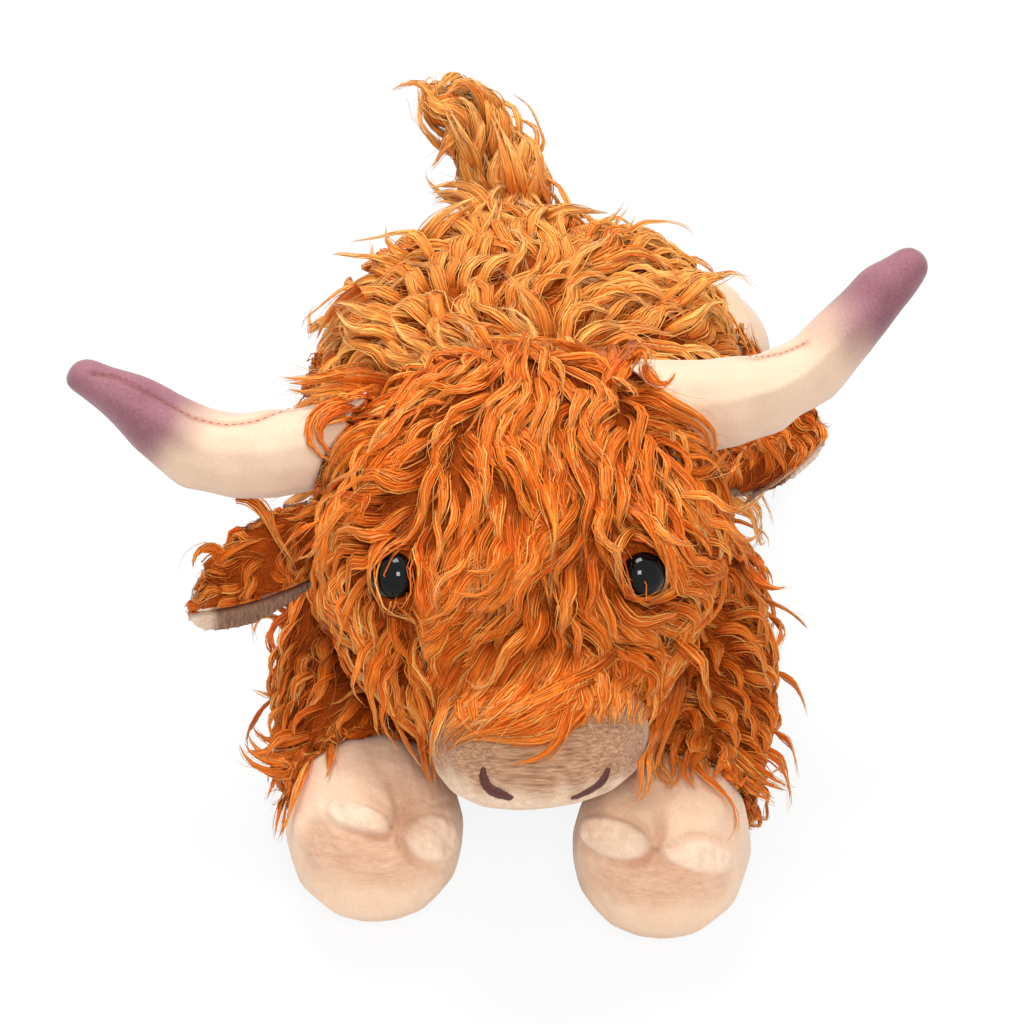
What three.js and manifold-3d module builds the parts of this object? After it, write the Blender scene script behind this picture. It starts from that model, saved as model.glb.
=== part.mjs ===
// A plush highland cow that lies on its belly with its chin over its front feet.
// Lengths are in millimetres. +X is the cow's own left, +Y runs from its face to its tail, +Z is up.
// The origin lies on the floor, in the middle of the flat patch under the belly.

import * as THREE from "three";
import { mergeVertices } from "three/addons/utils/BufferGeometryUtils.js";
import Module from "manifold-3d";

const wasm = await Module();
wasm.setup();

// Clearances and cloth
const seamGap = 0.3;
const swingRoom = 5;
const floorCut = 0.5;
const furWall = 12;

// Body
const bodyWidth = 194;
const bodyLength = 236;
const bodyHeight = 158;

// Fur tufts on the body: how deep they are at most, and how far over the floor they reach that depth
const tuftDepth = 8;
const tuftDepthShare = 0.35;
const tuftFadeHeight = 44;

// Head, placed by its middle, from the body's front end
const headWidth = 170;
const headLength = 196;
const headDepth = 132;
const headReach = 42;
const headCentreY = -bodyLength / 2 - headReach;
const headCentreZ = 126;
const headPitchDegrees = 52;
const headRollDegrees = 8;
const jawForward = 14;

// Neck, a stuffed collar between two round seats about one middle
const neckCentreY = -bodyLength / 2;
const neckCentreZ = 112;
const neckRadius = 58;
const neckThickness = 10;
const neckWidth = 104;
const nodUpDegrees = 12;
const tiltLeftDegrees = 8;
const tiltRightDegrees = 4;

// Muzzle, placed from the middle of the head
const muzzleWidth = 85;
const muzzleHeight = 56;
const muzzleDepth = 62;
const muzzleDrop = 59;
const muzzleReach = 32;

// Nostrils, stitched on the muzzle
const nostrilSpacing = 52;
const nostrilRadius = 17;
const nostrilArcPieces = 8;
const nostrilThread = 1;
const nostrilWidth = 5;
const nostrilRise = 2;
const nostrilSpanDegrees = 58;
const nostrilLeanDegrees = 32;

// Eyes, shank eyes that a washer holds from inside
const eyeDiameter = 18;
const eyeDome = 7;
const eyeRim = 2;
const eyeSpacing = 98;
const eyeRise = 3;
const eyeSkew = 6.5;
const eyeSink = 7;
const eyeBacking = 3;
const shankDiameter = 5;
const shankTail = 4;
const washerDiameter = 20;
const washerThickness = 2.5;

// Horns
const hornBaseDiameter = 40;
const hornBendDiameter = 36;
const hornTipDiameter = 18;
const hornRootX = 36;
const hornRootY = 62;
const hornMiddleX = 84;
const hornMiddleY = 57;
const hornBendX = 122;
const hornBendY = 64;
const hornTipX = 160;
const hornTipY = 98;
const hornTipForward = 10;
const hornSkew = 2;

// Ears
const earLength = 78;
const earWidth = 42;
const earFurThickness = 8;
const earLiningThickness = 4;
const earRootX = 68;
const earRootY = 34;
const earRootBack = 34;
const earEdge = 0.5;
const earCurl = 6;
const earDroopDegrees = 30;
const earLiftDegrees = 6;
const earFoldDegrees = 34;
const earSwingDegrees = 14;

// Legs and hooves
const legBallRadius = 30;
const legSleeveRadius = 34;
const hoofRadius = 36;
const hoofLength = 76;
const hoofSeat = 16;
const shoulderX = 72;
const shoulderInset = 38;
const shoulderY = -bodyLength / 2 + shoulderInset;
const shoulderZ = 52;
const frontHoofX = 57;
const frontLegReach = 132;
const frontHoofY = shoulderY - frontLegReach;
const frontHoofSkew = 3;
const frontSleeveBow = 6;
const hipX = 68;
const hipInset = 84;
const hipY = bodyLength / 2 - hipInset;
const hipZ = 50;
const hindHoofX = 72;
const hindHoofSkewX = 4;
const hindLegReach = 58;
const hindHoofY = hipY + hindLegReach;
const hindHoofSkewY = 6;
const hindSleeveBow = 6;
const splayOutDegrees = 20;

// Tail
const tailBallRadius = 22;
const tailRadius = 20;
const tailTipRadius = 13;
const tailInset = 24;
const tailRootX = -6;
const tailRootY = bodyLength / 2 - tailInset;
const tailRootZ = 108;
const tailBendX = -18;
const tailBendReach = 24;
const tailBendZ = 132;
const tailTipX = -36;
const tailTipReach = 30;
const tailTipZ = 158;
const tailSwingDegrees = 15;

// How full each stuffed form is: 2 is an egg and more is squarer
const bodyFullness = 2.4;
const headFullness = 2.15;
const muzzleFullness = 2.4;
const hoofFullness = 2.15;

// How much the body narrows towards its rump, how far the head reaches to its chin and how much it narrows
const rumpTaperShare = 0.14;
const chinShare = 0.86;
const jawTaperShare = 0.36;
const crownTaperShare = 0.1;

// Counts of facets, and how many rings a row of tufts has
const tuftSides = 40;
const tuftRings = 36;
const tuftRowRings = 3;
const bodySides = 20;
const bodyRings = 12;
const coreSides = 16;
const coreRings = 10;
const neckSides = 20;
const neckRings = 12;
const ballSides = 16;
const ballRings = 10;
const limbSides = 10;
const limbRings = 4;
const capRings = 3;
const hoofSides = 14;
const hoofRings = 8;
const hornRings = 8;
const hornSides = 12;
const earSides = 12;
const earRings = 10;
const roundSides = 16;
const mergeTolerance = 0.0001;

const across = new THREE.Vector3(1, 0, 0);
const along = new THREE.Vector3(0, 1, 0);
const upward = new THREE.Vector3(0, 0, 1);

// A closed geometry as a solid, with its shared points merged and its collapsed faces dropped.
function solid(geometry) {
  const bare = new THREE.BufferGeometry();
  bare.setAttribute("position", geometry.getAttribute("position"));
  bare.setIndex(geometry.getIndex());
  const merged = mergeVertices(bare, mergeTolerance);
  const corners = merged.getIndex().array;
  const kept = [];
  for (let i = 0; i < corners.length; i += 3) {
    const [a, b, c] = [corners[i], corners[i + 1], corners[i + 2]];
    if (a !== b && b !== c && c !== a) kept.push(a, b, c);
  }
  const vertProperties = merged.getAttribute("position").array;
  return new wasm.Manifold(new wasm.Mesh({ numProp: 3, vertProperties, triVerts: new Uint32Array(kept) }));
}

function geometryOf(body) {
  const mesh = body.getMesh();
  const geometry = new THREE.BufferGeometry();
  geometry.setAttribute("position", new THREE.BufferAttribute(mesh.vertProperties, 3));
  geometry.setIndex(new THREE.BufferAttribute(mesh.triVerts, 1));
  return geometry;
}

function cut(geometry, ...tools) {
  return geometryOf(tools.reduce((rest, tool) => rest.subtract(solid(tool)), solid(geometry)));
}

function join(geometry, ...others) {
  return geometryOf(others.reduce((whole, other) => whole.add(solid(other)), solid(geometry)));
}

function within(geometry, ...limits) {
  return geometryOf(limits.reduce((rest, limit) => rest.intersect(solid(limit)), solid(geometry)));
}

function moved(geometry, x, y, z) {
  return geometry.clone().translate(x, y, z);
}

function turned(geometry, pivot, axis, degrees) {
  const turn = new THREE.Matrix4().makeRotationAxis(axis, THREE.MathUtils.degToRad(degrees));
  return moved(moved(geometry, -pivot.x, -pivot.y, -pivot.z).applyMatrix4(turn), pivot.x, pivot.y, pivot.z);
}

// A ball, and the larger ball whose flat facets stay clear of it however it turns.
function ball(centre, radius, sides = ballSides, rings = ballRings) {
  return moved(new THREE.SphereGeometry(radius, sides, rings), centre.x, centre.y, centre.z);
}

function seat(centre, radius, sides = ballSides, rings = ballRings) {
  const facetShare = Math.cos(Math.PI / sides) * Math.cos(Math.PI / (2 * rings));
  const room = new THREE.SphereGeometry((radius + seamGap) / facetShare, sides, rings);
  return moved(room.rotateY(Math.PI / sides), centre.x, centre.y, centre.z);
}

// A ball with its poles along Y, drawn out to half sizes. shape moves each point, given in shares of them.
function stuffed(half, fullness, sides, rings, shape = () => {}) {
  const geometry = new THREE.SphereGeometry(1, sides, rings);
  const points = geometry.getAttribute("position");
  const point = new THREE.Vector3();
  for (let i = 0; i < points.count; i += 1) {
    point.fromBufferAttribute(points, i);
    const spread = Math.abs(point.x) ** fullness + Math.abs(point.y) ** fullness + Math.abs(point.z) ** fullness;
    point.multiplyScalar(spread ** (-1 / fullness));
    shape(point);
    points.setXYZ(i, point.x * half.x, point.y * half.y, point.z * half.z);
  }
  return geometry;
}

// A round limb along a curve, from a round root to a tip that is round, or flat where a cuff ends.
function limb(curve, radii, sides, rings, flatTip = false) {
  const length = curve.getLength();
  const [rootRadius, tipRadius] = [radii[0], radii[radii.length - 1]];
  const spread = new THREE.CatmullRomCurve3(radii.map((radius, i) => new THREE.Vector3(radius, i, 0)));
  const profile = [];
  for (let i = 0; i < capRings; i += 1) {
    const angle = (Math.PI / 2) * (i / capRings);
    profile.push(new THREE.Vector2(rootRadius * Math.sin(angle), -rootRadius * Math.cos(angle)));
  }
  for (let i = 0; i <= rings; i += 1) {
    profile.push(new THREE.Vector2(spread.getPoint(i / rings).x, length * (i / rings)));
  }
  if (flatTip) {
    profile.push(new THREE.Vector2(0, length));
  } else {
    for (let i = 1; i <= capRings; i += 1) {
      const angle = (Math.PI / 2) * (i / capRings);
      profile.push(new THREE.Vector2(tipRadius * Math.cos(angle), length + tipRadius * Math.sin(angle)));
    }
  }
  const geometry = new THREE.LatheGeometry(profile, sides);
  const points = geometry.getAttribute("position");
  for (let i = 0; i < points.count; i += 1) {
    const reach = points.getY(i);
    const share = THREE.MathUtils.clamp(reach / length, 0, 1);
    const ahead = curve.getTangentAt(share);
    const side = new THREE.Vector3().crossVectors(ahead, upward).normalize();
    const rise = new THREE.Vector3().crossVectors(side, ahead);
    const place = curve.getPointAt(share).addScaledVector(ahead, reach - share * length);
    place.addScaledVector(side, points.getX(i)).addScaledVector(rise, points.getZ(i));
    points.setXYZ(i, place.x, place.y, place.z);
  }
  return geometry;
}

// What a limb keeps once it is clear of its carrier at every angle that it swings to.
function clearOf(geometry, carrier, pivot, axis, angles) {
  return cut(geometry, ...angles.map((angle) => turned(carrier, pivot, axis, -angle)));
}

// The same piece on the other side of the cow.
function mirroredX(geometry) {
  const copy = geometry.clone().applyMatrix4(new THREE.Matrix4().makeScale(-1, 1, 1));
  const corners = copy.getIndex().array;
  for (let i = 0; i < corners.length; i += 3) {
    [corners[i], corners[i + 1]] = [corners[i + 1], corners[i]];
  }
  return copy;
}

// A stuffed form with staggered rows of tufts, each highest at the end nearer +Y and no deeper than a share of its
// width. They fade out towards the floor.
function tufted(form, sides, rings) {
  const points = form.getAttribute("position");
  const point = new THREE.Vector3();
  for (let i = 0; i < points.count; i += 1) {
    const [column, ring] = [i % (sides + 1), Math.floor(i / (sides + 1))];
    const crest = (column + Math.floor(ring / tuftRowRings)) % 2 === 0 && ring > 0 && ring < rings;
    const riseShare = crest ? 1 - (ring % tuftRowRings) / tuftRowRings : 0;
    point.fromBufferAttribute(points, i);
    const tuftWidth = (4 * Math.PI * Math.hypot(point.x, point.z)) / sides;
    const fadeShare = THREE.MathUtils.clamp((point.z + bodyHeight / 2) / tuftFadeHeight, 0, 1);
    const depth = Math.min(tuftDepth, tuftDepthShare * tuftWidth) * fadeShare;
    point.setLength(point.length() - depth * (1 - riseShare));
    points.setXYZ(i, point.x, point.y, point.z);
  }
  return form;
}

// Everything below the floor.
const floorBlock = new THREE.BoxGeometry(2 * bodyLength, 3 * bodyLength, bodyHeight);
floorBlock.translate(0, 0, -bodyHeight / 2);

// Body: the outer form, or the one inside its fur wall, before and after it is stood on the floor.
function bodyEgg(inset, sides, rings) {
  const half = new THREE.Vector3(bodyWidth / 2 - inset, bodyLength / 2 - inset, bodyHeight / 2 - inset);
  return stuffed(half, bodyFullness, sides, rings, (point) => {
    const taper = 1 - rumpTaperShare * Math.max(point.y, 0) ** 2;
    point.set(point.x * taper, point.y, point.z > 0 ? point.z * taper : point.z);
  });
}

function stood(form) {
  return moved(form, 0, 0, bodyHeight / 2 - floorCut);
}

function bodyForm(inset, sides, rings) {
  return stood(bodyEgg(inset, sides, rings));
}

// Head: narrower at the chin and crown, with the jaw carried forward. X is across, Y to the crown, Z to the face.
function headForm(inset, sides, rings) {
  const half = new THREE.Vector3(headWidth / 2 - inset, headLength / 2 - inset, headDepth / 2 - inset);
  return stuffed(half, headFullness, sides, rings, (point) => {
    const taper = headTaper(point.y);
    const forward = point.y < 0 ? (jawForward / half.z) * point.y ** 2 : 0;
    const reach = point.y < 0 ? chinShare * point.y : point.y;
    point.set(point.x * taper, reach, point.z * taper + forward);
  });
}

function headTaper(share) {
  return share < 0 ? 1 + jawTaperShare * share : 1 - crownTaperShare * share ** 2;
}

// How far the head's outer form stands forward over a point of its own plane.
function faceDepth(x, y) {
  const share = y / ((headLength / 2) * (y < 0 ? chinShare : 1));
  const taper = headTaper(share);
  const spread = Math.abs(share) ** headFullness + Math.abs(x / (taper * (headWidth / 2))) ** headFullness;
  const forward = share < 0 ? jawForward * share ** 2 : 0;
  return (headDepth / 2) * taper * (1 - spread) ** (1 / headFullness) + forward;
}

const head = new THREE.Group();
head.position.set(0, headCentreY, headCentreZ);
head.rotation.set(THREE.MathUtils.degToRad(headPitchDegrees), 0, THREE.MathUtils.degToRad(headRollDegrees));
head.updateMatrixWorld(true);

const neckCentre = new THREE.Vector3(0, neckCentreY, neckCentreZ);
const neckInHead = head.worldToLocal(neckCentre.clone());

// The room that the head needs at its own poses, each a nod after a tilt, in the frame of the floor.
function headSweep(poses) {
  const roomy = headForm(-swingRoom, coreSides, coreRings).applyMatrix4(head.matrixWorld);
  return join(...poses.map(([nod, tilt]) => turned(turned(roomy, neckCentre, along, tilt), neckCentre, across, -nod)));
}

const tiltPoses = [[0, 0], [0, tiltLeftDegrees], [0, -tiltRightDegrees]];
const sweptByTilt = headSweep(tiltPoses);
const sweptByHead = headSweep([...tiltPoses, [nodUpDegrees, 0]]);

// The body with room round it, at both ends of a limb's swing about its root.
function bodySweep(root, axis, angles) {
  const roomy = bodyForm(-swingRoom, coreSides, coreRings);
  return angles.map((angle) => turned(roomy, root, axis, -angle));
}

// Legs: a ball in the body, a fur sleeve along a bowed line and a hoof at its cuff, on the side of +X.
function legPieces(root, hoofCentre, bow) {
  const middle = root.clone().lerp(hoofCentre, 0.5).add(new THREE.Vector3(bow, 0, 0));
  const reach = new THREE.CatmullRomCurve3([root, middle, hoofCentre]);
  const cuffShare = 1 - hoofSeat / reach.getLength();
  const path = new THREE.CatmullRomCurve3([root, reach.getPointAt(cuffShare / 2), reach.getPointAt(cuffShare)]);
  const ahead = hoofCentre.clone().sub(root);
  const sweep = bodySweep(root, upward, [0, splayOutDegrees]);
  const hoofForm = (inset) => {
    const half = new THREE.Vector3(hoofRadius - inset, hoofLength / 2 - inset, hoofRadius - inset);
    const form = stuffed(half, hoofFullness, hoofSides, hoofRings).rotateZ(Math.atan2(-ahead.x, ahead.y));
    return moved(form, hoofCentre.x, hoofCentre.y, hoofCentre.z);
  };
  const bare = cut(limb(path, [legBallRadius, legSleeveRadius, legSleeveRadius], limbSides, limbRings, true), ...sweep);
  const sleeve = cut(join(bare, ball(root, legBallRadius)), hoofForm(-seamGap), floorBlock, sweptByHead);
  const hoof = cut(hoofForm(0), ...sweep, floorBlock, sweptByHead);
  return { sleeve, hoof };
}

function placeOf(x, y, z) {
  return new THREE.Vector3(x, y, z);
}

const hoofZ = hoofRadius - floorCut;
const shoulder = placeOf(shoulderX, shoulderY, shoulderZ);
const hip = placeOf(hipX, hipY, hipZ);
const frontLegLeft = legPieces(shoulder, placeOf(frontHoofX, frontHoofY - frontHoofSkew, hoofZ), frontSleeveBow);
const frontLegRight = legPieces(shoulder, placeOf(frontHoofX, frontHoofY + frontHoofSkew, hoofZ), frontSleeveBow);
const hindHoof = (side) => placeOf(hindHoofX + side * hindHoofSkewX, hindHoofY + side * hindHoofSkewY, hoofZ);
const hindLegLeft = legPieces(hip, hindHoof(1), hindSleeveBow);
const hindLegRight = legPieces(hip, hindHoof(-1), hindSleeveBow);

// Tail: a ball in the rump and a furry stub that stands up and leans to one side.
const tailRoot = placeOf(tailRootX, tailRootY, tailRootZ);
const tailPath = new THREE.CatmullRomCurve3([
  tailRoot,
  placeOf(tailBendX, tailRootY + tailBendReach, tailBendZ),
  placeOf(tailTipX, tailRootY + tailTipReach, tailTipZ),
]);
const tailSweep = bodySweep(tailRoot, along, [-tailSwingDegrees, tailSwingDegrees]);
const tailBare = cut(limb(tailPath, [tailBallRadius, tailRadius, tailTipRadius], limbSides, limbRings), ...tailSweep);
const tail = join(tailBare, ball(tailRoot, tailBallRadius));

// The round seats that the neck and the limbs have in the body.
const sockets = [
  seat(neckCentre, neckRadius, neckSides, neckRings),
  seat(shoulder, legBallRadius),
  mirroredX(seat(shoulder, legBallRadius)),
  seat(hip, legBallRadius),
  mirroredX(seat(hip, legBallRadius)),
  seat(tailRoot, tailBallRadius),
];
const bodyHollow = bodyForm(furWall, coreSides, coreRings);
const bodyFur = stood(tufted(bodyEgg(0, tuftSides, tuftRings), tuftSides, tuftRings));
const bodyCover = cut(bodyFur, bodyHollow, floorBlock, sweptByHead, ...sockets);
const bodyFill = cut(bodyForm(furWall + seamGap, coreSides, coreRings), sweptByHead, ...sockets);

// Neck: the part of a round shell that lies in the body's seat, open where the head's own ball turns in it.
const neckBlock = new THREE.BoxGeometry(neckWidth, bodyLength, neckWidth);
neckBlock.translate(0, neckCentreY + bodyLength / 2, neckCentreZ);
const neckInner = neckRadius - neckThickness;
const neckOuter = ball(neckCentre, neckRadius, neckSides, neckRings);
const neckShell = cut(neckOuter, seat(neckCentre, neckInner, neckSides, neckRings), sweptByTilt);
const neckCollar = within(neckShell, neckBlock);

// Muzzle, in the frame of the head.
function muzzleForm(inset) {
  const half = new THREE.Vector3(muzzleWidth / 2 - inset, muzzleHeight / 2 - inset, muzzleDepth / 2 - inset);
  return moved(stuffed(half, muzzleFullness, ballSides, ballRings), 0, -muzzleDrop, muzzleReach);
}

const muzzle = cut(muzzleForm(0), headForm(-seamGap, bodySides, bodyRings));

// Nostrils: short arcs of raised thread that lie on the muzzle's front.
function nostril(side) {
  const [inner, outer] = [nostrilRadius - nostrilWidth / 2, nostrilRadius + nostrilWidth / 2];
  const span = THREE.MathUtils.degToRad(nostrilSpanDegrees);
  const middle = -Math.PI / 2 + side * THREE.MathUtils.degToRad(nostrilLeanDegrees);
  const outline = new THREE.Shape();
  outline.absarc(0, 0, outer, middle - span / 2, middle + span / 2, false);
  outline.absarc(0, 0, inner, middle + span / 2, middle - span / 2, true);
  outline.closePath();
  const depth = muzzleDepth;
  const bar = new THREE.ExtrudeGeometry(outline, { depth, bevelEnabled: false, curveSegments: nostrilArcPieces });
  const skin = cut(muzzleForm(-seamGap - nostrilThread), muzzleForm(-seamGap));
  return within(skin, moved(bar, side * (nostrilSpacing / 2 - nostrilRadius), nostrilRise - muzzleDrop, muzzleReach));
}

// Eyes: a glossy dome on a shank, with a washer behind the cloth. Each is turned about Y and then set on the face.
function turnedProfile(points) {
  return new THREE.LatheGeometry(points.map(([x, y]) => new THREE.Vector2(x, y)), roundSides);
}

const eyeRadius = eyeDiameter / 2;
const shankRadius = shankDiameter / 2;
const washerRadius = washerDiameter / 2;
const washerTop = -eyeBacking;
const washerFoot = washerTop - washerThickness;
const shankFoot = washerFoot - shankTail;

function eyeForm() {
  const points = [[0, shankFoot], [shankRadius, shankFoot], [shankRadius, 0], [eyeRadius, 0], [eyeRadius, eyeRim]];
  for (let i = 1; i <= capRings; i += 1) {
    const angle = (Math.PI / 2) * (i / capRings);
    points.push([eyeRadius * Math.cos(angle), eyeRim + eyeDome * Math.sin(angle)]);
  }
  return turnedProfile(points);
}

function washerForm() {
  const bore = shankRadius + seamGap;
  const top = washerTop - seamGap;
  return turnedProfile([[bore, washerFoot], [washerRadius, washerFoot], [washerRadius, top], [bore, top], [bore, washerFoot]]);
}

// What an eye needs out of the cloth and the filling: a dimple in the pile, a hole for the shank and the washer's room.
function eyeRooms() {
  const bore = shankRadius + seamGap;
  const dimple = turnedProfile([
    [0, shankFoot - seamGap],
    [bore, shankFoot - seamGap],
    [bore, -seamGap],
    [eyeRadius + seamGap, -seamGap],
    [eyeRadius + seamGap, eyeSink + eyeDiameter],
    [0, eyeSink + eyeDiameter],
  ]);
  const room = washerRadius + seamGap;
  const pocket = turnedProfile([
    [0, washerFoot - seamGap],
    [room, washerFoot - seamGap],
    [room, washerTop],
    [0, washerTop],
  ]);
  return join(dimple, pocket);
}

// An eye stands square on the face, at its own height.
function onFace(geometry, side) {
  const [x, y] = [side * (eyeSpacing / 2), eyeRise - side * eyeSkew];
  const step = eyeRadius;
  const slopeX = (faceDepth(x + step, y) - faceDepth(x - step, y)) / (2 * step);
  const slopeY = (faceDepth(x, y + step) - faceDepth(x, y - step)) / (2 * step);
  const outward = new THREE.Vector3(-slopeX, -slopeY, 1).normalize();
  const place = new THREE.Vector3(x, y, faceDepth(x, y)).addScaledVector(outward, -eyeSink);
  const turn = new THREE.Quaternion().setFromUnitVectors(along, outward);
  return moved(geometry.clone().applyQuaternion(turn), place.x, place.y, place.z);
}

// Horns: stuffed tubes that run out from the crown and turn up to a blunt tip.
function horn(side) {
  const reach = (x) => side * x + hornSkew * (x / hornTipX);
  const path = new THREE.CatmullRomCurve3([
    placeOf(side * hornRootX, hornRootY, 0),
    placeOf(reach(hornMiddleX), hornMiddleY, 0),
    placeOf(reach(hornBendX), hornBendY, 0),
    placeOf(reach(hornTipX), hornTipY, hornTipForward),
  ]);
  const radii = [hornBaseDiameter / 2, hornBaseDiameter / 2, hornBendDiameter / 2, hornTipDiameter / 2];
  const bare = limb(path, radii, hornSides, hornRings);
  return cut(bare, headForm(-seamGap, bodySides, bodyRings));
}

// Ears: two leaves, fur over lining, on either side of one curled middle surface. Each runs along Y from its root.
function earLeaf(front, back) {
  const half = new THREE.Vector3(earWidth / 2, earLength / 2, 1);
  const leaf = stuffed(half, 2, earSides, earRings);
  const points = leaf.getAttribute("position");
  for (let i = 0; i < points.count; i += 1) {
    const [x, y, z] = [points.getX(i), points.getY(i), points.getZ(i)];
    const middle = -earCurl * (x / half.x) ** 2;
    const depth = z > 0 ? z * front : -z * back;
    points.setXYZ(i, x, y + half.y, middle + depth + (front > 0 ? seamGap / 2 : -seamGap / 2));
  }
  return leaf;
}

function earPieces(side, degrees, fold) {
  const root = new THREE.Vector3(side * earRootX, earRootY, -earRootBack);
  const turn = -side * 90 + side * degrees;
  const middle = new THREE.Vector3();
  const swings = [-earSwingDegrees, 0, earSwingDegrees];
  const carrier = headForm(-seamGap, bodySides, bodyRings);
  const set = (leaf) => {
    const folded = turned(turned(leaf, middle, upward, turn), middle, along, side * fold);
    const placed = moved(folded, root.x, root.y, root.z);
    return clearOf(placed, carrier, root, upward, swings);
  };
  return {
    outer: set(earLeaf(earFurThickness, earEdge)),
    lining: set(earLeaf(-earEdge, -earLiningThickness)),
  };
}

const eyeLeft = onFace(eyeForm(), 1);
const eyeRight = onFace(eyeForm(), -1);
const rooms = [onFace(eyeRooms(), 1), onFace(eyeRooms(), -1)];
const headHollow = headForm(furWall, coreSides, coreRings);
const headMouth = seat(neckInHead, neckInner, neckSides, neckRings);
const headCover = cut(headForm(0, bodySides, bodyRings), headHollow, headMouth, ...rooms);
const headBall = ball(neckInHead, neckInner, neckSides, neckRings);
const headFill = cut(join(headForm(furWall + seamGap, coreSides, coreRings), headBall), ...rooms);

// Finishes
const furColour = new THREE.Color(0.8, 0.4, 0.12);
const creamColour = new THREE.Color(0.94, 0.83, 0.72);
const tanColour = new THREE.Color(0.78, 0.66, 0.52);
const liningColour = new THREE.Color(0.58, 0.46, 0.38);
const threadColour = new THREE.Color(0.24, 0.14, 0.13);
const fillColour = new THREE.Color(0.93, 0.93, 0.92);
const glossColour = new THREE.Color(0.02, 0.02, 0.02);
const washerColour = new THREE.Color(0.85, 0.85, 0.84);

function piece(name, geometry, color, roughness = 0.95) {
  const mesh = new THREE.Mesh(geometry, new THREE.MeshStandardMaterial({ color, roughness, metalness: 0 }));
  mesh.name = name;
  return mesh;
}

const cow = new THREE.Group();
cow.add(
  piece("body_cover", bodyCover, furColour),
  piece("body_fill", bodyFill, fillColour),
  piece("neck_collar", neckCollar, furColour),
  piece("leg_front_left", frontLegLeft.sleeve, furColour),
  piece("leg_front_right", mirroredX(frontLegRight.sleeve), furColour),
  piece("hoof_front_left", frontLegLeft.hoof, creamColour),
  piece("hoof_front_right", mirroredX(frontLegRight.hoof), creamColour),
  piece("leg_hind_left", hindLegLeft.sleeve, furColour),
  piece("leg_hind_right", mirroredX(hindLegRight.sleeve), furColour),
  piece("hoof_hind_left", hindLegLeft.hoof, creamColour),
  piece("hoof_hind_right", mirroredX(hindLegRight.hoof), creamColour),
  piece("tail", tail, furColour),
  head,
);
const earLeft = earPieces(1, earLiftDegrees, earFoldDegrees);
const earRight = earPieces(-1, -earDroopDegrees, 0);
head.add(
  piece("head_cover", headCover, furColour),
  piece("head_fill", headFill, fillColour),
  piece("muzzle", muzzle, tanColour),
  piece("nostril_left", nostril(1), threadColour),
  piece("nostril_right", nostril(-1), threadColour),
  piece("eye_left", eyeLeft, glossColour, 0.05),
  piece("eye_right", eyeRight, glossColour, 0.05),
  piece("eye_washer_left", onFace(washerForm(), 1), washerColour, 0.5),
  piece("eye_washer_right", onFace(washerForm(), -1), washerColour, 0.5),
  piece("horn_left", horn(1), creamColour),
  piece("horn_right", horn(-1), creamColour),
  piece("ear_left", earLeft.outer, furColour),
  piece("ear_right", earRight.outer, furColour),
  piece("ear_lining_left", earLeft.lining, liningColour),
  piece("ear_lining_right", earRight.lining, liningColour),
);

export default cow;
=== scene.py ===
# A plush highland cow, lying on its belly with its chin over its front feet.
# Lengths are in metres. +X is the cow's own left, +Y runs from its face to its tail and +Z is up.

import math
from dataclasses import dataclass

import bmesh
import bpy
import numpy as np
from mathutils import Matrix, Vector
from mathutils.bvhtree import BVHTree


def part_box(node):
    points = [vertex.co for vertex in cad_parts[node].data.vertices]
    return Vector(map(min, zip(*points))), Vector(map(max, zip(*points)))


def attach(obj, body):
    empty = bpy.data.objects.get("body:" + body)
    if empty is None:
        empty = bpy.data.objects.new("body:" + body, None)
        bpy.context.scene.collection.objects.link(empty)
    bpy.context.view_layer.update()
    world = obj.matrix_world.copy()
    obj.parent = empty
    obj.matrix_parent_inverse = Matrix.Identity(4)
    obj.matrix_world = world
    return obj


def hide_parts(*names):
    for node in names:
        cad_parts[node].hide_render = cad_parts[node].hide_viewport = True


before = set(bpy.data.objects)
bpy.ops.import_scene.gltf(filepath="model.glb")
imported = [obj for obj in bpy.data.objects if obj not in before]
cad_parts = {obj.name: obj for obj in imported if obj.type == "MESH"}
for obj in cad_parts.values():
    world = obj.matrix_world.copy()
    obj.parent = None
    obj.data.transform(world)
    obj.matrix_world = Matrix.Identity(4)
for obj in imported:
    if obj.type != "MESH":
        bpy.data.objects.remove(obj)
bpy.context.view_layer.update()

# The photograph's view, with its focal length in pixels
VIEW_TARGET = Vector((-0.006, -0.070, 0.0837))
VIEW_AZIMUTH = math.radians(1.5)
VIEW_ELEVATION = math.radians(40)
VIEW_DISTANCE = 1.4
VIEW_FOCUS = 3332
PHOTO_SIZE = 1024
SENSOR_WIDTH = 36
TOWARDS_VIEW = np.array((0, -0.77, 0.64))
UP_IN_VIEW = np.array((0, 0.64, 0.77))

# Stuffed forms under the fur, as half sizes, fullness and tapers
PILE = 0.010
BODY_HALF = Vector((0.097, 0.118, 0.079))
BODY_FULLNESS = 2.4
RUMP_TAPER = 0.14
HEAD_HALF = Vector((0.085, 0.098, 0.066))
HEAD_FULLNESS = 2.15
HEAD_PLACE = Vector((0, -0.160, 0.126))
HEAD_PITCH = math.radians(52)
HEAD_ROLL = math.radians(8)
CHIN_SHARE = 0.86
JAW_TAPER = 0.36
JAW_FORWARD = 0.014
CROWN_TAPER = 0.1
HEAD = (
    Matrix.Translation(HEAD_PLACE)
    @ Matrix.Rotation(HEAD_PITCH, 4, "X")
    @ Matrix.Rotation(HEAD_ROLL, 4, "Z")
)

# The round end of the head that turns in the neck's collar
NECK_PLACE = np.array((0, -0.118, 0.112))
NECK_RADIUS = 0.0476
NECK_BARE = 0.045

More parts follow.
